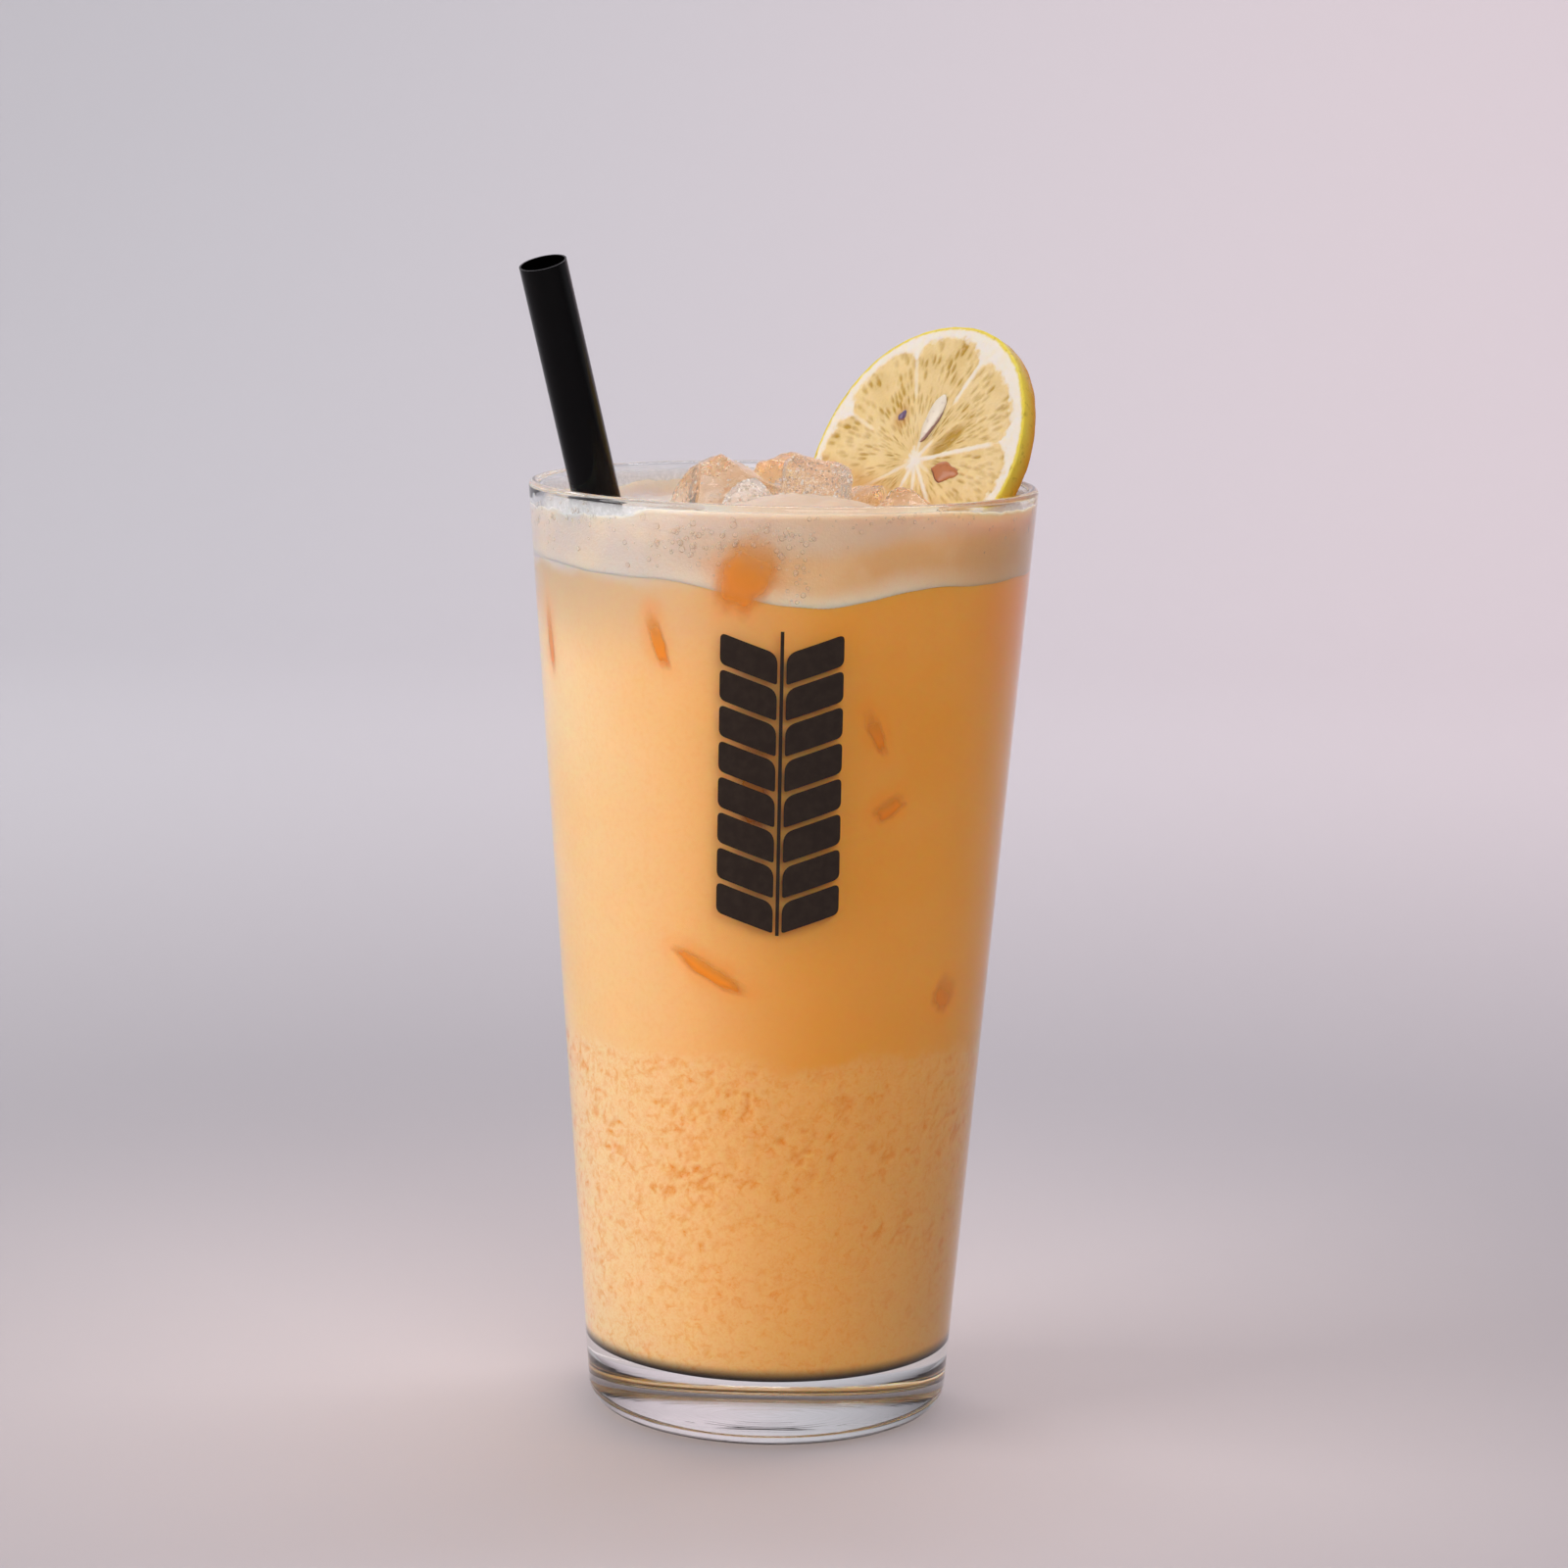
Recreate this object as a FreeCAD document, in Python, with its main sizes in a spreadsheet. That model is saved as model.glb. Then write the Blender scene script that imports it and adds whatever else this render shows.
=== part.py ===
"""Glass of lemonade: a tall conical tumbler with a heavy base, filled with cloudy lemonade.

The drink stands in three layers: settled pulp at the bottom, lemonade, and a head of foam.
A wide straw stands in it, and a lemon slice and a heap of ice stand out of the foam.

Row frame in millimetres: +Z up, the origin on the table under the middle of the glass.
"""
import FreeCAD, Part
import math
import os

import Sketcher
from FreeCAD import Placement, Rotation, Vector

# ---------------------------------------------------------------- driving dimensions
SIZES = [
    # name, value, what it is
    ("glass_height", 163.5, "table to the top of the rim"),
    ("rim_radius", 44.0, "outside of the rim"),
    ("foot_radius", 31.3, "outside wall, carried down to the table"),
    ("rim_wall", 2.0, "wall thickness at the rim"),
    ("floor_wall", 3.0, "wall thickness at the floor"),
    ("floor_height", 12.0, "table to the inside floor"),
    ("floor_round", 4.0, "radius between the floor and the inside wall"),
    ("heel_round", 4.5, "radius between the foot and the outside wall"),
    ("rim_round", 0.9, "radius of the two edges of the rim"),
    ("punt_radius", 23.0, "radius of the hollow under the base"),
    ("punt_depth", 1.0, "depth of the hollow under the base"),
    ("wall_gap", 0.2, "gap between the drink and the inside of the glass"),
    ("fit_gap", 0.15, "gap left round whatever stands in the drink, and between its layers"),
    ("pulp_height", 57.5, "inside floor to the top of the settled pulp"),
    ("pulp_ripple", 1.6, "unevenness of the top of the pulp"),
    ("head_depth", 13.2, "rim to the underside of the foam"),
    ("head_tilt", 0.02, "how much deeper the foam reaches for each mm to the right"),
    ("head_dip", 3.8, "how much deeper it reaches at the front"),
    ("head_ripple", 0.35, "unevenness of the underside of the foam"),
    ("froth_drop", 5.6, "rim to the flat part of the foam's top"),
    ("froth_mound", 7.0, "height of the froth that is pushed up at the front"),
    ("froth_rise", 1.6, "how far over the rim the froth may stand"),
    ("straw_diameter", 8.0, "outside of the straw"),
    ("straw_wall", 0.3, "wall thickness of the straw"),
    ("straw_length", 199.0, "length of the straw"),
    ("straw_foot_x", 2.2, "middle of the straw's foot"),
    ("straw_foot_y", 18.3, "middle of the straw's foot"),
    ("straw_lean_to", 213.2, "bearing of the place on the rim that it leans on, degrees"),
    ("slice_radius", 24.3, "mean radius of the lemon slice"),
    ("slice_thickness", 3.4, "thickness of the lemon slice"),
    ("slice_edge_round", 0.5, "radius of the slice's two edges"),
    ("slice_x", 22.7, "middle of the slice's front face"),
    ("slice_y", 9.0, "middle of the slice's front face"),
    ("slice_rise", 4.6, "rim to the middle of the slice's front face"),
    ("slice_bearing", 223.7, "bearing that the slice's front face looks to, degrees"),
    ("slice_tip", 26.0, "how far the slice's front face looks up, degrees"),
    ("ice_taper", 0.88, "width of a cube's small end as a share of its large end"),
    ("ice_round", 2.6, "radius of a cube's edges"),
]

# Each cube: name, long, wide, deep, x, y, how far its middle is under the rim, and its turn
# about Z, then about its own X and Y, in degrees.
ICE_CUBES = [
    ("ice_left", 16.0, 14.5, 17.0, -10.9, -5.2, 4.9, 22.0, -8.0, 28.0),
    ("ice_front", 7.6, 8.0, 12.0, -5.2, -23.0, 3.6, 30.0, -8.0, -22.0),
    ("ice_middle", 11.0, 11.5, 15.0, 4.7, -12.8, 2.6, 6.0, -8.0, 6.0),
    ("ice_back", 15.5, 11.0, 14.0, 4.9, 6.6, 4.4, -18.0, 6.0, 24.0),
    ("ice_right", 7.3, 10.0, 12.0, 14.6, -12.6, 5.2, 8.0, -10.0, 4.0),
    ("ice_edge", 11.5, 9.0, 12.0, 21.2, -24.0, 5.4, -28.0, 6.0, 14.0),
]
ICE_MEASURES = ("long", "wide", "deep", "x", "y", "sink", "turn", "pitch", "roll")

LAYER_GRID = 13  # points along each side of the grid that an uneven layer runs through

doc = FreeCAD.newDocument("GlassOfLemonade")
sheet = doc.addObject("Spreadsheet::Sheet", "Sizes")


def fill_sheet():
    """Writes every driving dimension into the spreadsheet, one aliased cell each."""
    rows = list(SIZES)
    for cube in ICE_CUBES:
        for measure, value in zip(ICE_MEASURES, cube[1:]):
            rows.append((f"{cube[0]}_{measure}", value, f"{measure} of {cube[0]}"))
    for row, (name, value, words) in enumerate(rows, start=1):
        sheet.set(f"A{row}", words)
        sheet.set(f"B{row}", str(value))
        sheet.setAlias(f"B{row}", name)
    doc.recompute()


def cell(name):
    """The value of one driving dimension."""
    return float(sheet.get(name))


def bind(thing, **expressions):
    """Ties properties of an object to expressions over the spreadsheet's cells."""
    for prop, expression in expressions.items():
        thing.setExpression(prop, expression)


def labelled(thing, label):
    """Gives an object the Label that names its file."""
    thing.Label = label
    return thing


# ---------------------------------------------------------------- the tumbler
def wall_profile(sketch, corners):
    """Draws a closed half-section. Each corner is (radius, height) as two expressions.

    A radius of None puts the corner on the axis. Every corner is tied to the sheet.
    """
    points = [
        Vector(0 if r is None else evaluated(r), evaluated(z), 0) for r, z in corners
    ]
    count = len(points)
    for i, point in enumerate(points):
        sketch.addGeometry(Part.LineSegment(point, points[(i + 1) % count]), False)
    for i in range(count):
        sketch.addConstraint(Sketcher.Constraint("Coincident", i, 2, (i + 1) % count, 1))
    for i, (radius, height) in enumerate(corners):
        if radius is None:
            sketch.addConstraint(Sketcher.Constraint("PointOnObject", i, 1, -2))
        else:
            place = sketch.addConstraint(Sketcher.Constraint("DistanceX", i, 1, points[i].x))
            sketch.setExpression(f"Constraints[{place}]", radius)
        if points[i].y > 0:
            place = sketch.addConstraint(Sketcher.Constraint("DistanceY", i, 1, points[i].y))
            sketch.setExpression(f"Constraints[{place}]", height)
        else:
            sketch.addConstraint(Sketcher.Constraint("PointOnObject", i, 1, -1))


def evaluated(expression):
    """The value of an expression over the sheet, such as 'Sizes.rim_radius - Sizes.rim_wall'."""
    return float(sheet.evalExpression(expression.replace("Sizes.", "")))


def turned_body(name, corners):
    """A PartDesign body made by turning a half-section about the Z axis."""
    body = doc.addObject("PartDesign::Body", name)
    sketch = body.newObject("Sketcher::SketchObject", name + "Section")
    plane = next(f for f in body.Origin.OriginFeatures if f.Role == "XZ_Plane")
    sketch.AttachmentSupport = [(plane, "")]
    sketch.MapMode = "FlatFace"
    doc.recompute()
    wall_profile(sketch, corners)
    doc.recompute()
    turned = body.newObject("PartDesign::Revolution", name + "Turned")
    turned.Profile = sketch
    turned.ReferenceAxis = (sketch, ["V_Axis"])
    turned.Angle = 360.0
    doc.recompute()
    return body, turned


def ring_edge(shape, radius, height):
    """The name of the circular edge of a turned shape at that radius and height."""
    for number, edge in enumerate(shape.Edges, start=1):
        curve = edge.Curve
        if isinstance(curve, Part.Circle) and abs(curve.Radius - radius) < 1e-4:
            if abs(curve.Center.z - height) < 1e-4:
                return f"Edge{number}"
    raise ValueError(f"no edge of radius {radius:.3f} at height {height:.3f}")


def rounded(body, base, name, rings, radius):
    """Adds a fillet of the given radius expression on the named rings of a body."""
    fillet = body.newObject("PartDesign::Fillet", name)
    fillet.Base = (base, [ring_edge(base.Shape, r, z) for r, z in rings])
    bind(fillet, Radius=radius)
    doc.recompute()
    return fillet


def make_glass():
    """The tumbler: a cone outside and in, a thick base with a shallow hollow, a rounded rim."""
    rim_inside = "Sizes.rim_radius - Sizes.rim_wall"
    body, turned = turned_body("Glass", [
        (None, "0"),
        ("Sizes.foot_radius", "0"),
        ("Sizes.rim_radius", "Sizes.glass_height"),
        (rim_inside, "Sizes.glass_height"),
        (FLOOR_EDGE, "Sizes.floor_height"),
        (None, "Sizes.floor_height"),
    ])
    height = cell("glass_height")
    rim = rounded(body, turned, "RimRound",
                  [(cell("rim_radius"), height), (evaluated(rim_inside), height)],
                  "min(Sizes.rim_round; 0.45 * Sizes.rim_wall)")
    heel = rounded(body, rim, "HeelRound", [(cell("foot_radius"), 0)],
                   "min(Sizes.heel_round; Sizes.foot_radius - Sizes.punt_radius - 1)")
    corner = rounded(body, heel, "FloorRound",
                     [(evaluated(FLOOR_EDGE), cell("floor_height"))], "Sizes.floor_round")
    punt = body.newObject("PartDesign::SubtractiveSphere", "Punt")
    ball = "((Sizes.punt_radius ^ 2 + Sizes.punt_depth ^ 2) / (2 * Sizes.punt_depth))"
    bind(punt, Radius=ball)
    plane = next(f for f in body.Origin.OriginFeatures if f.Role == "XY_Plane")
    punt.AttachmentSupport = [(plane, "")]
    punt.MapMode = "FlatFace"
    punt.setExpression("AttachmentOffset.Base.z", "Sizes.punt_depth - " + ball)
    doc.recompute()
    if not corner.Shape.Volume > punt.Shape.Volume:
        raise ValueError("the hollow under the base cuts nothing")
    return labelled(body, "glass")


# ---------------------------------------------------------------- what the tumbler holds
# The outside wall's lean, and the inside wall's radius at the floor.
WALL_LEAN = "((Sizes.rim_radius - Sizes.foot_radius) / Sizes.glass_height)"
FLOOR_EDGE = f"(Sizes.foot_radius + {WALL_LEAN} * Sizes.floor_height - Sizes.floor_wall)"
INSIDE_LEAN = (f"((Sizes.rim_radius - Sizes.rim_wall - {FLOOR_EDGE})"
               " / (Sizes.glass_height - Sizes.floor_height))")
FROTH_TOP = "(Sizes.glass_height + Sizes.froth_rise)"


def make_fill_space():
    """The room inside the tumbler up to the highest froth, one wall_gap clear of the wall."""
    bottom = "Sizes.floor_height + Sizes.wall_gap"
    body, turned = turned_body("FillSpace", [
        (None, bottom),
        (f"{FLOOR_EDGE} - Sizes.wall_gap", bottom),
        (f"{FLOOR_EDGE} + {INSIDE_LEAN} * ({FROTH_TOP} - Sizes.floor_height) - Sizes.wall_gap",
         FROTH_TOP),
        (None, FROTH_TOP),
    ])
    rounded(body, turned, "FillRound",
            [(evaluated(f"{FLOOR_EDGE} - Sizes.wall_gap"), evaluated(bottom))],
            "Sizes.floor_round")
    return body


def uneven_layer(name, height_at, depth):
    """A slab whose top runs through height_at(x, y), and whose bottom is the same, depth lower."""
    reach = cell("rim_radius") * 1.15
    step = 2 * reach / (LAYER_GRID - 1)
    rows = []
    for i in range(LAYER_GRID):
        x = -reach + i * step
        rows.append([Vector(x, -reach + j * step, height_at(x, -reach + j * step))
                     for j in range(LAYER_GRID)])
    surface = Part.BSplineSurface()
    surface.interpolate(rows)
    slab = doc.addObject("Part::Feature", name)
    slab.Shape = surface.toShape().extrude(Vector(0, 0, -depth))
    return slab


def pulp_top(x, y):
    """Height of the settled pulp, a low uneven bed."""
    ripple = (math.sin(x / 9.0 + 0.6) + math.sin(y / 7.5 - x / 20.0) + math.sin((x + y) / 6.0)) / 3
    return cell("floor_height") + cell("pulp_height") + cell("pulp_ripple") * ripple


def head_underside(x, y):
    """Height of the underside of the foam: nearly level, with a dip at the front of the glass."""
    wide = cell("rim_radius")
    level = cell("glass_height") - cell("head_depth") - cell("head_tilt") * x
    across = (x - 0.1 * wide) / (0.32 * wide)
    along = (y + 0.97 * wide) / (0.5 * wide)
    dip = math.exp(-across ** 2 - along ** 2)
    ripple = math.sin(x / 5.0 + 0.8) * math.cos(y / 8.0)
    return level - cell("head_dip") * dip + cell("head_ripple") * ripple


def froth_top(x, y):
    """Height of the top of the foam: level, with a mound pushed up in front of the ice."""
    wide = cell("rim_radius")
    level = cell("glass_height") - cell("froth_drop")
    across = (x - 0.07 * wide) / (0.44 * wide)
    along = (y + 0.76 * wide) / (0.24 * wide)
    mound = math.exp(-across ** 2 - along ** 2)
    return level + cell("froth_mound") * mound


# ---------------------------------------------------------------- straw
def straw_line():
    """Where the straw's foot stands and the direction that it leans in.

    One edge of the square-cut foot rests on the floor, and the straw touches the rim's inner edge,
    which is round, where that edge slopes as the straw does.
    """
    radius = cell("straw_diameter") / 2
    gap = cell("fit_gap")
    bearing = math.radians(cell("straw_lean_to"))
    inside = cell("rim_radius") - cell("rim_wall")
    edge = min(cell("rim_round"), 0.45 * cell("rim_wall"))
    lean = 0.0
    for _ in range(12):
        away = inside + edge * (1 - math.cos(lean)) - (radius + gap) / math.cos(lean)
        touch = cell("glass_height") - edge * (1 - math.sin(lean))
        foot_z = cell("floor_height") + gap + radius * math.sin(lean)
        foot = Vector(cell("straw_foot_x"), cell("straw_foot_y"), foot_z)
        line = Vector(away * math.cos(bearing), away * math.sin(bearing), touch) - foot
        lean = line.getAngle(Vector(0, 0, 1))
    return foot, line.normalize()


def tube(name, outside, length, below=0.0):
    """A Part::Cylinder along the straw's line, from below its foot, sized by expressions."""
    foot, line = straw_line()
    rod = doc.addObject("Part::Cylinder", name)
    bind(rod, Radius=outside, Height=length)
    rod.Placement = Placement(foot - line * below, Rotation(Vector(0, 0, 1), line))
    return rod


def make_straw():
    """The straw: an open tube with square ends."""
    straw = doc.addObject("Part::Cut", "Straw")
    straw.Base = tube("StrawOutside", "Sizes.straw_diameter / 2", "Sizes.straw_length")
    straw.Tool = tube("StrawBore", "Sizes.straw_diameter / 2 - Sizes.straw_wall",
                      "Sizes.straw_length")
    return labelled(straw, "straw")


# ---------------------------------------------------------------- lemon slice
def slice_outline(radius, height):
    """The slice's outline at one height: a wavy round, a little longer one way."""
    points = []
    for i in range(24):
        a = 2 * math.pi * i / 24
        r = radius * (1 + 0.014 * math.cos(2 * (a - 1.1)) + 0.006 * math.cos(5 * a + 0.7))
        points.append(Vector(r * math.cos(a), r * math.sin(a), height))
    curve = Part.BSplineCurve()
    curve.interpolate(points, PeriodicFlag=True)
    return Part.Wire(curve.toShape())


def slice_shape(grow):
    """The slice lying flat with its front face up, larger by grow all round."""
    thick = cell("slice_thickness") + 2 * grow
    radius = cell("slice_radius") + grow
    flat = Part.Face(slice_outline(radius, -cell("slice_thickness") - grow))
    disc = flat.extrude(Vector(0, 0, thick))
    edges = [e for e in disc.Edges if abs(e.BoundBox.ZLength) < 1e-4]
    return disc.makeFillet(min(cell("slice_edge_round"), thick / 3), edges)


def slice_placement():
    """Stands the slice up: its front face looks along the bearing and up by the tip."""
    bearing = math.radians(cell("slice_bearing"))
    tip = math.radians(cell("slice_tip"))
    look = Vector(math.cos(bearing) * math.cos(tip), math.sin(bearing) * math.cos(tip), math.sin(tip))
    up = (Vector(0, 0, 1) - look * math.sin(tip)).normalize()
    middle = Vector(cell("slice_x"), cell("slice_y"), cell("glass_height") + cell("slice_rise"))
    return Placement(middle, Rotation(up.cross(look), up, look, "ZXY"))


def slice_at(name, grow):
    """The slice in its place, as an object of the document."""
    piece = doc.addObject("Part::Feature", name)
    piece.Shape = slice_shape(grow)
    piece.Placement = slice_placement()
    return piece


# ---------------------------------------------------------------- ice
def ice_at(name, cube, grow):
    """One tapered cube with rounded edges, larger by grow (an expression) all round."""
    wedge = doc.addObject("Part::Wedge", name + "Block")
    for axis, measure in (("X", "long"), ("Z", "wide")):
        half = f"(Sizes.{cube}_{measure} / 2)"
        bind(wedge, **{
            f"{axis}min": f"-{half} - {grow}",
            f"{axis}max": f"{half} + {grow}",
            f"{axis}2min": f"-{half} * Sizes.ice_taper - {grow}",
            f"{axis}2max": f"{half} * Sizes.ice_taper + {grow}",
        })
    bind(wedge, Ymin=f"-Sizes.{cube}_deep / 2 - {grow}", Ymax=f"Sizes.{cube}_deep / 2 + {grow}")
    middle = Vector(cell(f"{cube}_x"), cell(f"{cube}_y"), cell("glass_height") - cell(f"{cube}_sink"))
    stand = Rotation(Vector(1, 0, 0), -90)
    lie = Rotation(cell(f"{cube}_turn"), cell(f"{cube}_roll"), cell(f"{cube}_pitch"))
    wedge.Placement = Placement(middle, lie * stand)
    doc.recompute()
    smallest = min(cell(f"{cube}_{m}") for m in ("long", "wide", "deep")) * cell("ice_taper")
    radius = min(cell("ice_round"), 0.3 * smallest)
    melted = doc.addObject("Part::Fillet", name)
    melted.Base = wedge
    melted.Edges = [(number, radius, radius) for number in range(1, len(wedge.Shape.Edges) + 1)]
    return melted


# ---------------------------------------------------------------- layers
def cut(name, base, tool):
    """base less tool."""
    made = doc.addObject("Part::Cut", name)
    made.Base = base
    made.Tool = tool
    return made


def common(name, base, tool):
    """What base and tool share."""
    made = doc.addObject("Part::Common", name)
    made.Base = base
    made.Tool = tool
    return made


def make_layers(space, hollows):
    """The settled pulp, the lemonade and the foam, each cut round what stands in the drink."""
    deep = cell("glass_height") * 1.5
    gap = cell("fit_gap")
    to_pulp = uneven_layer("ToPulp", pulp_top, deep)
    over_pulp = uneven_layer("OverPulp", lambda x, y: pulp_top(x, y) + gap, deep)
    to_head = uneven_layer("ToHead", head_underside, deep)
    over_head = uneven_layer("OverHead", lambda x, y: head_underside(x, y) + gap, deep)
    to_froth = uneven_layer("ToFroth", froth_top, deep)
    pulp = common("PulpBed", space, to_pulp)
    lemonade = cut("LemonadeBed", common("BelowHead", space, to_head), over_pulp)
    foam = cut("FoamBed", common("BelowFroth", space, to_froth), over_head)
    return [
        labelled(cut("Pulp", pulp, hollows), "settled_pulp"),
        labelled(cut("Lemonade", lemonade, hollows), "lemonade"),
        labelled(cut("Foam", foam, hollows), "foam_head"),
    ]


def make_hollows():
    """The room that the straw, the slice and the ice take up in the drink, each one gap larger."""
    gap = "Sizes.fit_gap"
    hollows = doc.addObject("Part::MultiFuse", "Hollows")
    rod = tube("StrawHollow", f"Sizes.straw_diameter / 2 + {gap}", "Sizes.straw_length",
               cell("straw_diameter"))
    ice = [ice_at(f"{cube[0]}_hollow", cube[0], gap) for cube in ICE_CUBES]
    hollows.Shapes = [rod, slice_at("SliceHollow", cell("fit_gap")), *ice]
    return hollows


# ---------------------------------------------------------------- checks and files
def faults(pieces):
    """What is wrong with the document: failed objects, and pieces that aren't one good solid each."""
    found = [f"{o.Name} failed" for o in doc.Objects if {"Invalid", "Error"} & set(o.State)]
    for piece in pieces:
        shape = piece.Shape
        if shape.isNull() or not shape.isValid() or len(shape.Solids) != 1:
            found.append(f"{piece.Label} isn't one valid solid ({len(shape.Solids)} solids)")
    return found


def overlaps(pieces):
    """Which pieces share room with another."""
    found = []
    for i, one in enumerate(pieces):
        for other in pieces[i + 1:]:
            if one.Shape.BoundBox.intersect(other.Shape.BoundBox):
                shared = one.Shape.common(other.Shape).Volume
                if shared > 1e-2:
                    found.append(f"{one.Label} and {other.Label} share {shared:.2f} cubic mm")
    return found


def write_parts(pieces):
    """One STEP file for each sub-part, named by its Label."""
    os.makedirs("parts", exist_ok=True)
    for piece in pieces:
        solid = piece.Shape.Solids[0]
        solid.exportStep(f"parts/{piece.Label}.step")
        box = solid.BoundBox
        print(f"{piece.Label:14s} {solid.Volume / 1000:8.2f} ml"
              f"  {box.XLength:6.1f} x {box.YLength:6.1f} x {box.ZLength:6.1f} mm")


def main():
    fill_sheet()
    pieces = [make_glass(), make_straw(), labelled(slice_at("Slice", 0.0), "lemon_slice")]
    pieces += [labelled(ice_at(cube[0], cube[0], "0"), cube[0]) for cube in ICE_CUBES]
    pieces += make_layers(make_fill_space(), make_hollows())
    doc.recompute()
    found = faults(pieces) or overlaps(pieces)
    if found:
        raise SystemExit("; ".join(found))
    write_parts(pieces)


main()
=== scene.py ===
"""Glass of lemonade: the looks.

Builds the clear glass, the cloudy drink with its settled pulp, the foam, the ice, the straw's finish,
the lemon slice and the leaf print round the packed model, laid out as an add-on.
Lengths of the object are millimetres, and MM turns them into Blender's metres. Angles round the
glass are bearings: 0 is +X, and the front is at -90 degrees. Lengths in a finish are metres.
"""
import math
import random
from itertools import product

import bmesh
import bpy
from bpy.props import FloatProperty, FloatVectorProperty, IntProperty, PointerProperty
from mathutils import Matrix, Vector, noise


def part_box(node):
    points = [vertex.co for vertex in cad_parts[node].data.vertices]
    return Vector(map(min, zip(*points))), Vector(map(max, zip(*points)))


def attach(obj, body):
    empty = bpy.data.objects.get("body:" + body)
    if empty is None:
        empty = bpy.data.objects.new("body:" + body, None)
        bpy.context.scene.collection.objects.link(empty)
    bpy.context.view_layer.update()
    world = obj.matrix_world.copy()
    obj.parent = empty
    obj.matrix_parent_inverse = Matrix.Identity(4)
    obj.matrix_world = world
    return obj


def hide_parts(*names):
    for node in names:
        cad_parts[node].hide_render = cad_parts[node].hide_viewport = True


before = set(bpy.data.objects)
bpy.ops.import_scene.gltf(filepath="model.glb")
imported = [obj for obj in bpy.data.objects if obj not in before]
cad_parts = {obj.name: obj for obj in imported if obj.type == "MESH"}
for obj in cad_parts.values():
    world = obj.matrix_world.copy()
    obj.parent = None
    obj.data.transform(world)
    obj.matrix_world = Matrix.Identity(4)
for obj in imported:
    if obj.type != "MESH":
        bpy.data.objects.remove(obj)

bl_info = {
    "name": "Glass of Lemonade",
    "version": (1, 0, 0),
    "blender": (4, 5, 0),
    "location": "View3D > Sidebar > Lemonade",
    "description": "Adds a glass of cloudy lemonade with ice, a straw and a lemon slice",
    "category": "Add Mesh",
}

MM = 0.001
TAU = 2 * math.pi
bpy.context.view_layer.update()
GLASS_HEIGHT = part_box("glass")[1][2] / MM


# ------------------------------------------------------------------ sizes and colours
def length(name, default, words):
    """A length in millimetres that a user may change."""
    return FloatProperty(name=name, description=words, default=default, precision=2)


def number(name, default, words):
    """An angle in degrees, a power in watts or a strength."""
    return FloatProperty(name=name, description=words, default=default)


def paint(name, default, words):
    """A colour, given as it looks on a screen and held as light."""
    light = tuple(((c + 0.055) / 1.055) ** 2.4 if c > 0.04045 else c / 12.92 for c in default)
    return FloatVectorProperty(name=name, description=words, default=light, size=3, min=0, max=1,
                               subtype="COLOR")


class LemonadeGlassSizes(bpy.types.PropertyGroup):
    """The tumbler."""
    height: length("Height", GLASS_HEIGHT, "Table to the top of the rim, in mm")
    rim_radius: length("Rim radius", 44.0, "Outside of the rim, in mm")
    foot_radius: length("Foot radius", 31.3, "Outside wall carried down to the table, in mm")
    rim_wall: length("Rim wall", 2.0, "Wall thickness at the rim, in mm")
    floor_wall: length("Floor wall", 3.0, "Wall thickness at the floor, in mm")
    floor_height: length("Floor height", 12.0, "Table to the inside floor, in mm")
    floor_round: length("Floor rounding", 4.0, "Radius between floor and wall, in mm")
    heel_round: length("Heel rounding", 4.5, "Radius between foot and outside wall, in mm")
    rim_round: length("Rim rounding", 0.9, "Radius of the rim's two edges, in mm")
    punt_radius: length("Punt radius", 23.0, "Hollow under the base, in mm")
    punt_depth: length("Punt depth", 1.0, "Depth of the hollow under the base, in mm")
    tint: paint("Tint", (0.985, 0.995, 0.99), "Colour of the clear glass")


class LemonadeDrinkLooks(bpy.types.PropertyGroup):
    """The cloudy drink, its pulp and its foam."""
    into_wall: length("Into the wall", 0.45, "How far the drink reaches into the glass, in mm")
    pulp_top: length("Pulp top", 69.5, "Table to the top of the settled pulp, in mm")
    froth_drop: length("Froth drop", 5.6, "Rim to the flat part of the foam, in mm")
    froth_mound: length("Froth mound", 7.0, "Height of the froth pushed up in front, in mm")
    head_depth: length("Foam depth", 13.2, "Rim to the underside of the foam, in mm")
    head_dip: length("Foam dip", 3.8, "How much deeper the foam reaches in front, in mm")
    painted_lit_peach: paint("Peach", (0.985, 0.87, 0.70), "The drink on the side of the window")
    shade: paint("Shade", (0.94, 0.67, 0.24), "The drink away from the window")
    sole: paint("Sole", (0.11, 0.08, 0.055), "The underside of the drink, which no light reaches")
    veil: paint("Veil", (0.82, 0.71, 0.58), "The thin drink under the foam")
    amber: paint("Amber", (0.97, 0.55, 0.03), "The drink where ice lies against the glass")
    painted_shade_dusk: paint("Dusk", (0.70, 0.51, 0.29), "The drink and the foam at the far right")
    clump: paint("Clump", (0.98, 0.885, 0.73), "Pale flecks of pulp")
    fleck: paint("Fleck", (0.95, 0.735, 0.40), "Flecks of pulp away from the window")
    gap: paint("Gap", (0.93, 0.60, 0.18), "The drink between the flecks")
    cream: paint("Cream", (0.91, 0.73, 0.51), "The foam")
    film: paint("Film", (0.85, 0.80, 0.77), "The foam where it is thin")
    white: paint("White", (0.99, 0.93, 0.86), "The foam's lower edge")


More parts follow.
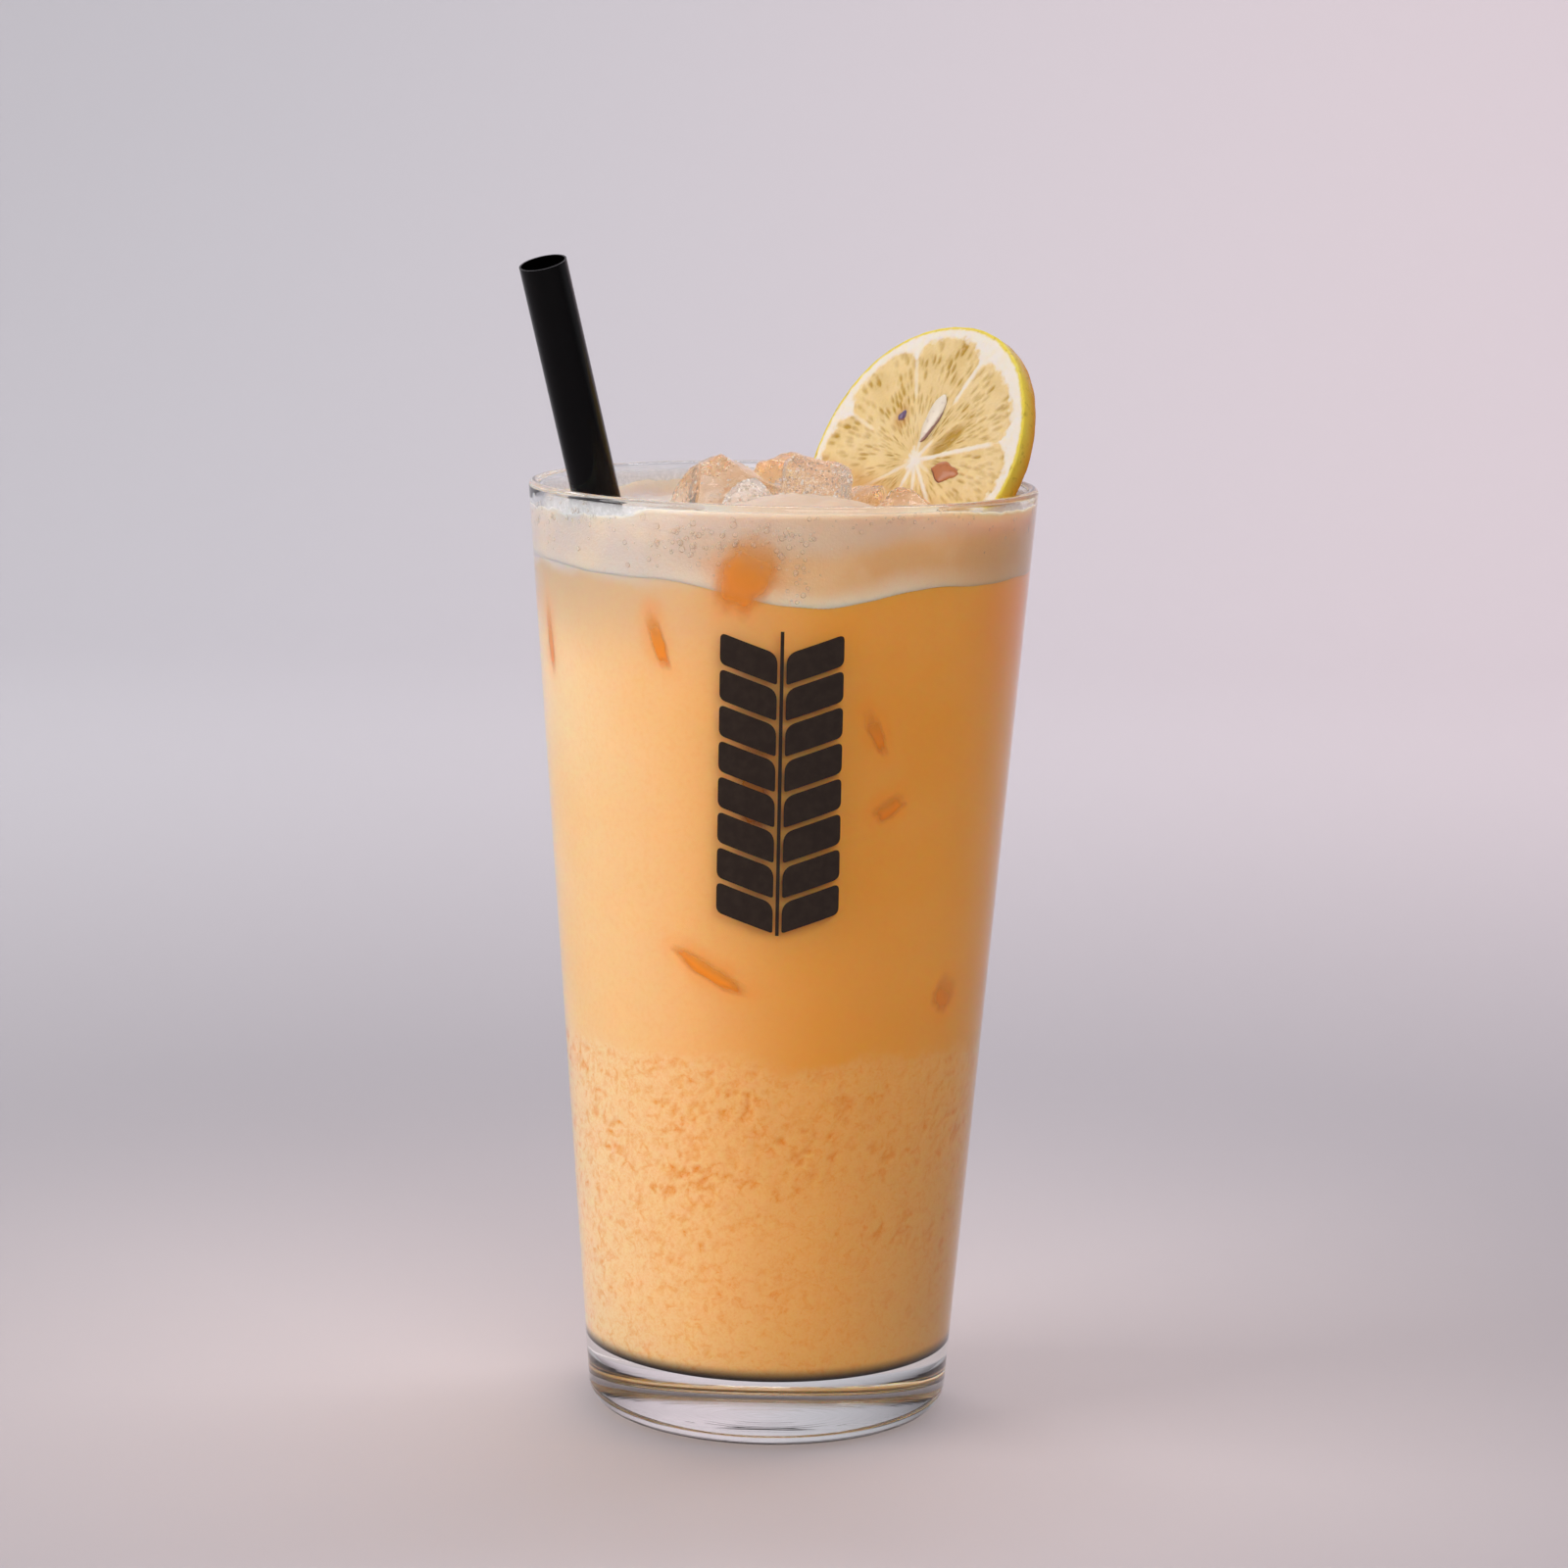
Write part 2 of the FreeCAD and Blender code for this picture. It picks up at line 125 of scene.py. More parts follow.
class LemonadeLemonLooks(bpy.types.PropertyGroup):
    """The lemon slice."""
    radius: length("Radius", 24.3, "Mean radius of the slice, in mm")
    thickness: length("Thickness", 3.4, "Thickness of the slice, in mm")
    bearing: number("Bearing", 223.7, "Where the face looks to, in degrees")
    tip: number("Tip", 26.0, "How far the face looks up, in degrees")
    flesh: paint("Flesh", (0.93, 0.82, 0.59), "Juice sacs")
    juice: paint("Juice", (0.74, 0.58, 0.20), "Deep juice between the sacs")
    pulp: paint("Pale flesh", (0.95, 0.87, 0.70), "The flesh's palest sacs")
    pith: paint("Pith", (0.94, 0.91, 0.87), "Pith, core and membranes")
    stain: paint("Stain", (0.78, 0.55, 0.24), "Flesh that the drink has wetted")
    zest: paint("Zest", (0.91, 0.82, 0.30), "Peel at the cut")
    gold: paint("Gold", (0.85, 0.56, 0.0), "Peel")
    olive: paint("Olive", (0.68, 0.56, 0.10), "Spots in the peel")


class LemonadePrintSizes(bpy.types.PropertyGroup):
    """The leaf print on the front of the glass."""
    width: length("Width", 20.6, "Width of the print, in mm")
    low: length("Low edge", 91.3, "Table to the low edge of the print, in mm")
    high: length("High edge", 142.8, "Table to the high edge of the print, in mm")
    leaves: IntProperty(name="Leaves", description="Leaves on each side of the stem", default=8)
    ink: paint("Ink", (0.165, 0.115, 0.085), "Colour of the print")


class LemonadeStageLooks(bpy.types.PropertyGroup):
    """Floor, backdrop and lights."""
    paper: paint("Paper", (0.80, 0.79, 0.81), "Backdrop")
    painted_light_warm_paper: paint("Warm paper", (0.845, 0.80, 0.82), "Backdrop on the right")
    floor: paint("Floor", (0.64, 0.62, 0.64), "Floor")
    pool: paint("Pool", (0.83, 0.785, 0.79), "Floor close round the glass")
    key: number("Key light", 8.8, "Power of the window on the left, in watts")
    fill: number("Fill light", 9.2, "Power of the light from the right, in watts")
    wash: number("Backdrop light", 18.8, "Power on the backdrop, in watts")
    glint: number("Glint light", 0.8, "Power of the light behind, in watts")
    room: number("Room light", 0.45, "Strength of the light from all round")


GROUPS = {
    "lemonade_glass": LemonadeGlassSizes,
    "lemonade_drink": LemonadeDrinkLooks,
    "lemonade_lemon": LemonadeLemonLooks,
    "lemonade_print": LemonadePrintSizes,
    "lemonade_stage": LemonadeStageLooks,
}


# ------------------------------------------------------------------ shader writing
class Socket:
    """A node's output. Python's operators on numbers add Math nodes behind it."""

    def __init__(self, finish, link):
        self.finish = finish
        self.link = link

    def math(self, operation, other):
        return self.finish.node("ShaderNodeMath", {"operation": operation}, {0: self, 1: other})

    def __add__(self, other):
        return self.math("ADD", other)

    def __sub__(self, other):
        return self.math("SUBTRACT", other)

    def __rsub__(self, other):
        return self.finish.node("ShaderNodeMath", {"operation": "SUBTRACT"}, {0: other, 1: self})

    def __mul__(self, other):
        return self.math("MULTIPLY", other)

    __radd__ = __add__
    __rmul__ = __mul__

    def steps(self, low, high):
        """0 below low, 1 above high and a smooth rise between them."""
        settings = {"interpolation_type": "SMOOTHSTEP"}
        values = {"Value": self, "From Min": low, "From Max": high}
        return self.finish.node("ShaderNodeMapRange", settings, values)

    def falls(self, low, high):
        """1 below low, 0 above high and a smooth fall between them."""
        return 1.0 - self.steps(low, high)

    def most(self, other):
        return self.math("MAXIMUM", other)

    def least(self, other):
        return self.math("MINIMUM", other)


class Finish:
    """One material, or the world, and the ways to add nodes to it."""

    def __init__(self, name, kind="materials"):
        self.block = getattr(bpy.data, kind).new(name)
        self.block.use_nodes = True
        self.tree = self.block.node_tree
        self.tree.nodes.clear()

    def node(self, kind, settings=None, values=None, output=0):
        """Adds a node: its settings first, then its sockets' values or links."""
        made = self.tree.nodes.new(kind)
        for name, setting in (settings or {}).items():
            setattr(made, name, setting)
        for name, value in (values or {}).items():
            if isinstance(value, Socket):
                self.tree.links.new(value.link, made.inputs[name])
            else:
                made.inputs[name].default_value = value
        return Socket(self, made.outputs[output]) if made.outputs else None

    def place(self, kind="Object"):
        """Where the surface is, in the row frame's metres."""
        return self.node("ShaderNodeTexCoord", output=kind)

    def axis(self, vector, name):
        """One of X, Y and Z of a vector."""
        return self.node("ShaderNodeSeparateXYZ", values={0: vector}, output=name)

    def attribute(self, name):
        """A number that the mesh holds for each of its points."""
        return self.node("ShaderNodeAttribute", {"attribute_name": name}, output="Fac")

    def grain(self, scale, detail=2.0, rough=0.5, vector=None, twist=0.0):
        """Noise from 0 to 1, with that many features in a metre."""
        values = {"Vector": vector or self.place(), "Scale": scale, "Detail": detail,
                  "Roughness": rough, "Distortion": twist}
        return self.node("ShaderNodeTexNoise", values=values)

    def cells(self, scale):
        """Distance to the middle of the nearest cell, with that many cells in a metre."""
        values = {"Vector": self.place(), "Scale": scale}
        return self.node("ShaderNodeTexVoronoi", values=values, output="Distance")

    def blend(self, amount, low, high):
        """The colour low where amount is 0 and high where it is 1."""
        colours = {6: opaque(low), 7: opaque(high), 0: amount}
        return self.node("ShaderNodeMix", {"data_type": "RGBA"}, colours, 2)

    def bump(self, height, depth, strength=1.0):
        """A Normal that looks depth metres deep."""
        return self.node("ShaderNodeBump",
                         values={"Height": height, "Distance": depth, "Strength": strength})

    def principled(self, **values):
        """The Principled shader, with sockets named as words_with_lines."""
        named = {name.replace("_", " ").title(): value for name, value in values.items()}
        for plain, known in (("Ior", "IOR"), ("Specular Ior Level", "Specular IOR Level")):
            if plain in named:
                named[known] = named.pop(plain)
        for name in ("Base Color", "Emission Color"):
            if name in named:
                named[name] = opaque(named[name])
        return self.node("ShaderNodeBsdfPrincipled", values=named)

    def lets_light_in(self, shader, tint=(1.0, 1.0, 1.0)):
        """shader, but lamps shine through it unbent."""
        seen = self.node("ShaderNodeLightPath", output="Is Shadow Ray")
        clear = self.node("ShaderNodeBsdfTransparent", values={"Color": opaque(tint)})
        return self.node("ShaderNodeMixShader", values={0: seen, 1: shader, 2: clear})

    def done(self, shader, kind="Material"):
        """Makes shader the surface and returns the material or the world."""
        self.node("ShaderNodeOutput" + kind, values={"Surface": shader})
        return self.block


def opaque(colour):
    """A colour of three numbers as the four that a socket takes; a socket passes through."""
    if isinstance(colour, Socket):
        return colour
    return (*tuple(colour)[:3], 1.0)


# ------------------------------------------------------------------ mesh writing
def smoothstep(low, high, x):
    """0 below low, 1 above high and a smooth rise between them."""
    t = min(1.0, max(0.0, (x - low) / (high - low)))
    return t * t * (3 - 2 * t)


def add_piece(name, points, faces, material, smooth=True):
    """A mesh piece from points in mm, that rides on the root body."""
    mesh = bpy.data.meshes.new(name)
    mesh.from_pydata([(x * MM, y * MM, z * MM) for x, y, z in points], [], faces)
    mesh.validate()
    if smooth:
        mesh.shade_smooth()
    piece = bpy.data.objects.new(name, mesh)
    bpy.context.scene.collection.objects.link(piece)
    piece.data.materials.append(material)
    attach(piece, "root")
    return piece


def mark(piece, **marks):
    """Holds a number for each point of a piece, for its finish to read."""
    for name, values in marks.items():
        held = piece.data.attributes.new(name, "FLOAT", "POINT")
        held.data.foreach_set("value", values)


def spun(r, a, z):
    """The point at the radius r, the angle a and the height z."""
    return r * math.cos(a), r * math.sin(a), z


def band(low, high, segments, inward=False):
    """Faces between two rings of points, which start at the points low and high."""
    made = []
    for i in range(segments):
        j = (i + 1) % segments
        near, far = (high + i, low + j) if inward else (low + j, high + i)
        made.append((low + i, near, high + j, far))
    return made


def fan(pole, ring, segments, inward=False):
    """Faces between a pole and the ring of points that starts at the point ring."""
    made = []
    for i in range(segments):
        j = (i + 1) % segments
        made.append((pole, ring + j, ring + i) if inward else (pole, ring + i, ring + j))
    return made


def turned(rows, segments):
    """Points and faces of a closed form round the Z axis.

    Each row is a function of the angle that returns (radius, height). The first and last rows are
    the poles, and only their height at angle 0 counts.
    """
    points = [(0.0, 0.0, rows[0](0.0)[1])]
    for row in rows[1:-1]:
        for i in range(segments):
            a = TAU * i / segments
            r, z = row(a)
            points.append(spun(r, a, z))
    points.append((0.0, 0.0, rows[-1](0.0)[1]))
    last = len(points) - 1
    faces = fan(0, 1, segments, inward=True) + fan(last, last - segments, segments)
    for k in range(len(rows) - 3):
        faces += band(1 + k * segments, 1 + (k + 1) * segments, segments)
    return points, faces


def arc(centre, radius, start, end, steps):
    """Points (r, z) on an arc, angles in degrees, ends included."""
    made = []
    for i in range(steps + 1):
        a = math.radians(start + (end - start) * i / steps)
        made.append((centre[0] + radius * math.cos(a), centre[1] + radius * math.sin(a)))
    return made


def squared(b, power):
    """Distance to the edge of a rounded square at the angle b; a power of 2 is a circle."""
    return (abs(math.cos(b)) ** power + abs(math.sin(b)) ** power) ** (-1 / power)


def line(start, end, steps):
    """Points between start and end, both left out."""
    return [tuple(s + (e - s) * i / steps for s, e in zip(start, end)) for i in range(1, steps)]


class Tumbler:
    """The glass's walls as formulas, from its sizes."""

    def __init__(self, sizes):
        self.s = sizes
        self.lean = (sizes.rim_radius - sizes.foot_radius) / sizes.height
        self.floor_edge = self.outside(sizes.floor_height) - sizes.floor_wall
        inner_rim = sizes.rim_radius - sizes.rim_wall
        self.inside_lean = (inner_rim - self.floor_edge) / (sizes.height - sizes.floor_height)

    def outside(self, z):
        return self.s.foot_radius + self.lean * z

    def inside(self, z):
        return self.floor_edge + self.inside_lean * (z - self.s.floor_height)

    def section(self):
        """Half-section (r, z) of the glass, from the middle of the hollow under the base, round
        the outside and the rim, to the middle of the inside floor."""
        s = self.s
        lean, inner_lean = math.atan(self.lean), math.atan(self.inside_lean)
        slope, inner_slope = math.degrees(lean), math.degrees(inner_lean)
        ball = (s.punt_radius ** 2 + s.punt_depth ** 2) / (2 * s.punt_depth)
        steps = 24
        made = []
        for i in range(steps + 1):
            r = s.punt_radius * i / steps
            made.append((r, s.punt_depth - ball + math.sqrt(ball ** 2 - r ** 2)))
        heel = (self.outside(s.heel_round) - s.heel_round / math.cos(lean), s.heel_round)
        made += line((s.punt_radius, 0), (heel[0], 0), 4)
        made += arc(heel, s.heel_round, -90, -slope, 14)
        rim = s.rim_round
        out = (s.rim_radius - rim * (1 / math.cos(lean) + math.tan(lean)), s.height - rim)
        within = (s.rim_radius - s.rim_wall + rim / math.cos(inner_lean), s.height - rim)
        made += line(made[-1], (out[0] + rim * math.cos(lean), out[1] - rim * math.sin(lean)), 60)
        made += arc(out, rim, -slope, 90, 8)
        made += arc(within, rim, 90, 180 - inner_slope, 8)
        above = s.floor_height + s.floor_round
        corner = (self.inside(above) - s.floor_round / math.cos(inner_lean), above)
        foot = arc(corner, s.floor_round, -inner_slope, -90, 12)
        made += line(made[-1], foot[0], 60)
        made += foot
        made += line(foot[-1], (0.0, s.floor_height), 10)
        made.append((0.0, s.floor_height))
        return made


def head_underside(x, y):
    """Height of the underside of the foam: it leans, dips in front and ripples."""
    looks = bpy.context.scene.lemonade_drink
    wide = bpy.context.scene.lemonade_glass.rim_radius
    level = bpy.context.scene.lemonade_glass.height - looks.head_depth - 0.02 * x
    across = (x - 0.1 * wide) / (0.32 * wide)
    along = (y + 0.97 * wide) / (0.5 * wide)
    dip = math.exp(-across ** 2 - along ** 2)
    ripple = math.sin(x / 5.0 + 0.8) * math.cos(y / 8.0)
    uneven = noise.noise(Vector((x / 7.0, y / 7.0, 3.0))) * 0.3
    return level - looks.head_dip * dip + 0.35 * ripple + uneven


def froth_height(x, y):
    """Height of the top of the foam: bumpy, with a mound of froth in front of the ice."""
    looks = bpy.context.scene.lemonade_drink
    sizes = bpy.context.scene.lemonade_glass
    wide = sizes.rim_radius
    across = (x - 0.07 * wide) / (0.44 * wide)
    along = (y + 0.76 * wide) / (0.24 * wide)
    mound = math.exp(-across ** 2 - along ** 2)
    bumps = noise.fractal(Vector((x / 4.0, y / 4.0, 8.0)), 0.9, 2.1, 4) * 0.55
    return sizes.height - looks.froth_drop + looks.froth_mound * mound + bumps - 0.2


# ------------------------------------------------------------------ operators
class AddPiece(bpy.types.Operator):
    """Base of the operators below."""
    bl_options = {"REGISTER", "UNDO"}

    def execute(self, context):
        """Builds the piece. A mistake raises, so that it stops the script."""
        self.build(context.scene)
        return {"FINISHED"}


class AddLemonadeGlass(AddPiece):
    """Adds the clear tumbler, turned in fine steps so that it bends light smoothly."""
    bl_idname = "lemonade.add_glass"
    bl_label = "Glass"

    def build(self, scene):
        sizes = scene.lemonade_glass
        section = Tumbler(sizes).section()
        rows = [lambda a, p=p: p for p in section]
        points, faces = turned(rows, 240)
        piece = add_piece("glass_clear", points, faces, self.material(sizes))
        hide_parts("glass")

    def material(self, sizes):
        finish = Finish("Clear glass")
        place = finish.place()
        ripple = finish.grain(28.0, 1.0)
        # the mould leaves fine rings under the base
        flat = finish.node("ShaderNodeVectorMath", {"operation": "MULTIPLY"},
                           {0: place, 1: (1.0, 1.0, 0.0)})
        out = finish.node("ShaderNodeVectorMath", {"operation": "LENGTH"}, {0: flat}, "Value")
        along = finish.node("ShaderNodeCombineXYZ", values={0: out})
        rings = finish.grain(900.0, 3.0, vector=along)
        ripple = ripple + rings * finish.axis(place, "Z").falls(0.0008, 0.0045) * 1.6
        clear = finish.principled(
            base_color=sizes.tint, roughness=0.0, ior=1.5, transmission_weight=1.0,
            normal=finish.bump(ripple, 0.0006, 0.12))
        return finish.done(finish.lets_light_in(clear, (0.97, 0.97, 0.97)))


# How far the drink and the foam draw in and overlap where they meet, in mm, so that they share no
# surface.
TUCK, OVERLAP = 0.05, 1.2
# Ice that lies against the inside of the wall: bearing in degrees, height, half-width and
# half-height in mm, turn in degrees, and how strongly it shows.
SUNKEN = (
    (-97.2, 152.9, 5.6, 9.2, -27.0, 0.8),
    (-119.8, 140.6, 1.6, 6.0, 18.0, 0.9),
    (-66.5, 126.0, 1.5, 5.2, 26.0, 0.75),
    (-61.5, 112.8, 3.6, 2.3, 30.0, 0.8),
    (-96.0, 117.0, 3.0, 10.0, 0.0, 0.8),
    (-107.5, 84.6, 8.0, 1.9, -30.0, 1.0),
    (-37.0, 79.0, 3.4, 4.2, -35.0, 0.6),
    (-160.5, 138.5, 1.5, 8.0, 4.0, 0.7),
    (150.0, 120.0, 3.4, 5.0, 30.0, 0.8),
    (100.0, 133.0, 6.0, 2.4, -25.0, 0.8),
    (64.0, 96.0, 3.0, 6.0, 20.0, 0.7),
    (20.0, 118.0, 2.6, 6.4, -15.0, 0.7),
)


def foam_edge(tumbler, a):
    """Height at which the underside of the foam meets the wall, at the angle a."""
    r = tumbler.inside(tumbler.s.height - bpy.context.scene.lemonade_drink.head_depth)
    return head_underside(r * math.cos(a), r * math.sin(a))


def near_ice(a, z, tumbler):
    """1 where ice lies against the glass, fading to 0 round it."""
    reach, halo = 20.0, 1.6
    glow = 0.0
    for bearing, height, wide, tall, turn, strength in SUNKEN:
        apart = (math.degrees(a) - bearing + 180) % 360 - 180
        across, up = math.radians(apart) * tumbler.inside(z), z - height
        if abs(across) > reach or abs(up) > reach:
            continue
        t = math.radians(turn)
        u = (across * math.cos(t) + up * math.sin(t)) / (wide + halo)
        v = (up * math.cos(t) - across * math.sin(t)) / (tall + halo)
        uneven = 0.3 * noise.noise(Vector((a * 9, z / 4, 2)))
        glow = max(glow, strength * (1 - smoothstep(0.3, 1.25, math.hypot(u, v) + uneven)))
    return glow


class AddLemonadeDrink(AddPiece):
    """Adds the cloudy drink and its settled pulp, which reach just into the wall."""
    bl_idname = "lemonade.add_drink"
    bl_label = "Drink"

    def build(self, scene):
        # vector noise takes its offsets from the clock unless it is given a seed
        noise.seed_set(7)
        sizes = scene.lemonade_glass
        looks = scene.lemonade_drink
        tumbler = Tumbler(sizes)
        into = looks.into_wall
        floor = sizes.floor_height - into
        above = floor + sizes.floor_round
        corner = (tumbler.inside(above) + into - sizes.floor_round, above)
        flat = [(r, floor) for r in (0.0, 6.0, 12.0, 18.0, 23.0)]
        foot = arc(corner, sizes.floor_round, -90, 0, 10)
        rows = [lambda a, p=p: p for p in flat + foot]
        steps, pit_depth = 180, 0.35

        def wall(a, i):
            z = corner[1] + (foam_edge(tumbler, a) - corner[1]) * i / steps
            low = smoothstep(corner[1], corner[1] + 3.0, z)
            return tumbler.inside(z) + into - pit_depth * low * self.pit(a, z, looks), z

        def lid(a, part):
            r, z = wall(a, steps)
            return (r - TUCK) * part, z + OVERLAP

        rows += [lambda a, i=i: wall(a, i) for i in range(1, steps + 1)]
        rows += [lambda a, p=p: lid(a, p) for p in (1.0, 0.8, 0.5, 0.2, 0.0)]
        points, faces = turned(rows, 320)
        piece = add_piece("drink_cloudy", points, faces, self.material(looks))
        bearings = [(math.atan2(y, x), z) for x, y, z in points]
        mark(piece, ice=[near_ice(a, z, tumbler) for a, z in bearings],
             pit=[self.pit(a, z, looks) for a, z in bearings],
             pulp=[self.settled(a, z, looks) for a, z in bearings],
             under=[foam_edge(tumbler, a) - z for a, z in bearings])
        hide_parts("lemonade", "settled_pulp")

    def settled(self, a, z, looks):
        """1 in the settled pulp, and 0 above it."""
        spot = Vector((math.cos(a) * 30, math.sin(a) * 30, z))
        top = looks.pulp_top + 2.2 * noise.fractal(spot / 9, 0.8, 2.0, 4)
        return 1 - smoothstep(top - 2.5, top + 0.5, z)

    def pit(self, a, z, looks):
        """How deep a pit the drink shows between the flecks of pulp, from 0 to 1."""
        settled = self.settled(a, z, looks)
        if settled <= 0:
            return 0.0
        spot = Vector((math.cos(a) * 34, math.sin(a) * 34, z * 1.15))
        warp = noise.noise_vector(spot / 3.4) * 0.9
        fine = noise.fractal((spot + warp) / 1.9, 0.65, 2.1, 3)
        patchy = 0.5 + 0.8 * noise.noise(spot / 9 + Vector((7, 0, 0)))
        low = smoothstep(14.0, 44.0, z)
        return settled * smoothstep(0.02, 0.6, fine) * max(0.0, min(1.0, patchy)) * low

    def material(self, looks):
        finish = Finish("Cloudy lemonade")
        place = finish.place()
        # painted light and shade: the side that faces the window is painted pale, and the drink is
        # painted deeper away from it
        deep = finish.axis(place, "X").steps(-0.047, 0.013)
        clouds = finish.grain(38.0, 2.0)
        haze = finish.grain(1100.0, 3.0, 0.6)
        plain = finish.blend(deep, looks.painted_lit_peach, looks.shade)
        plain = finish.blend(clouds.steps(0.35, 0.75) * 0.3, plain, looks.fleck)
        plain = finish.blend(haze.steps(0.4, 0.75) * 0.12, plain, looks.gap)
        under = finish.attribute("under") + (finish.grain(110.0, 3.0) - 0.5) * 4.0
        plain = finish.blend(under.falls(0.0, 20.0) * (1.0 - deep), plain, looks.veil)
        plain = finish.blend(under.falls(0.0, 2.4) * (1.0 - deep * 1.6).most(0.0), plain,
                             looks.film)
        fleck = finish.grain(560.0, 4.0, 0.62, twist=0.8)
        fibre = finish.grain(1300.0, 3.0, 0.6, twist=1.5)
        # painted light and shade: the pulp's flecks are painted pale on the window side and deeper
        # away from it
        pale = finish.blend(deep, looks.clump, looks.fleck)
        pits = finish.attribute("pit") * 0.8 + fleck.steps(0.48, 0.7) * 0.42
        pits = pits + fibre.steps(0.42, 0.68) * 0.26
        pulp = finish.blend(pits.least(1.0), pale, looks.gap)
        body = finish.blend(finish.attribute("pulp"), plain, pulp)
        # painted shade: the upper right, away from the window, is painted deeper amber
        right = finish.axis(place, "X").steps(0.028, 0.042)
        body = finish.blend(under.falls(4.0, 30.0) * right * 0.6, body, looks.amber)
        # painted shade: the low right side is away from every lamp, so it is painted darker
        painted_shade_low_right = finish.axis(place, "X").steps(0.006, 0.030) * finish.axis(place, "Z").falls(0.02, 0.09)
        body = finish.blend(painted_shade_low_right * 0.42, body, looks.painted_shade_dusk)
        colour = finish.blend(finish.attribute("ice") * 0.36, body, looks.amber)
        # painted shade: the drink's underside, which no light reaches, is painted near black
        sole = finish.axis(place, "Z").falls(0.0119, 0.0146)
        colour = finish.blend(sole, colour, looks.sole)
        cloudy = finish.principled(
            base_color=colour, roughness=0.5, ior=1.34, specular_ior_level=0.05,
            subsurface_weight=1.0, subsurface_radius=(1.0, 0.5, 0.2), subsurface_scale=0.0014)
        return finish.done(cloudy)


class AddLemonadeSunkenIce(AddPiece):
    """Adds the melted ice that lies against the inside of the wall."""
    bl_idname = "lemonade.add_sunken_ice"
    bl_label = "Sunken ice"

    def build(self, scene):
        tumbler = Tumbler(scene.lemonade_glass)
        into = scene.lemonade_drink.into_wall + 0.14
        points, faces, marks = [], [], []
        for k in range(len(SUNKEN)):
            self.chip(k, tumbler, into, points, faces, marks)
        piece = add_piece("sunken_ice", points, faces, self.material(scene.lemonade_drink))
        edge, rise, strength = zip(*marks)
        mark(piece, edge=edge, rise=rise, strength=strength)

    def chip(self, k, tumbler, into, points, faces, marks):
        """One chip: flush with the drink at its rim, proud of it in its middle."""
        bearing, height, wide, tall, turn, strength = SUNKEN[k]
        rings, segments, square = 12, 44, 2.6
        t = math.radians(turn)
        rough = 0.22 if k else 0.08
        start = len(points)

        def add(part, i, inward):
            b = TAU * i / segments
            uneven = 1 + rough * noise.noise(Vector((2 * math.cos(b), 2 * math.sin(b), k * 3)))
            grown = part * uneven * squared(b, square)
            u, v = wide * grown * math.cos(b), tall * grown * math.sin(b)
            across = u * math.cos(t) - v * math.sin(t)
            z = height + u * math.sin(t) + v * math.cos(t)
            r = tumbler.inside(z) + into - 0.1 * part ** 2 - inward
            points.append(spun(r, math.radians(bearing) + across / tumbler.inside(z), z))
            marks.append((part, v / tall, strength))

        layers = [(ring / rings, 0.0) for ring in range(1, rings + 1)]
        layers += [(part, 2.2 * (1 - part) + 0.4) for part in (0.95, 0.6, 0.3)]
        add(0, 0, 0)
        for part, inward in layers:
            for i in range(segments):
                add(part, i, inward)
        add(0, 0, 2.6)
        last = len(points) - 1
        faces += fan(start, start + 1, segments) + fan(last, last - segments, segments, inward=True)
        for ring in range(len(layers) - 1):
            low = start + 1 + ring * segments
            faces += band(low, low + segments, segments, inward=True)

    def material(self, looks):
        finish = Finish("Sunken ice")
        edge = finish.attribute("edge")
        rise = finish.attribute("rise")
        strength = finish.attribute("strength")
        uneven = finish.grain(420.0, 3.0)
        deep = rise.falls(-0.7, 0.5) * 0.8 + (uneven - 0.5) * 0.3
        colour = finish.blend(deep.most(0.0).least(1.0), looks.gap, looks.amber)
        body = (edge + (uneven - 0.5) * 0.25).falls(0.42, 1.0)
        fade = (rise + (uneven - 0.5) * 0.3).falls(-0.35, 1.0) * 0.9 + 0.1
        # painted glow: a faint orange emission stands in for light that comes through the ice
        ice = finish.principled(base_color=colour, roughness=0.5, specular_ior_level=0.0,
                                emission_color=(0.95, 0.36, 0.03), emission_strength=0.03,
                                alpha=body * fade * strength * 0.9)
        return finish.done(ice)


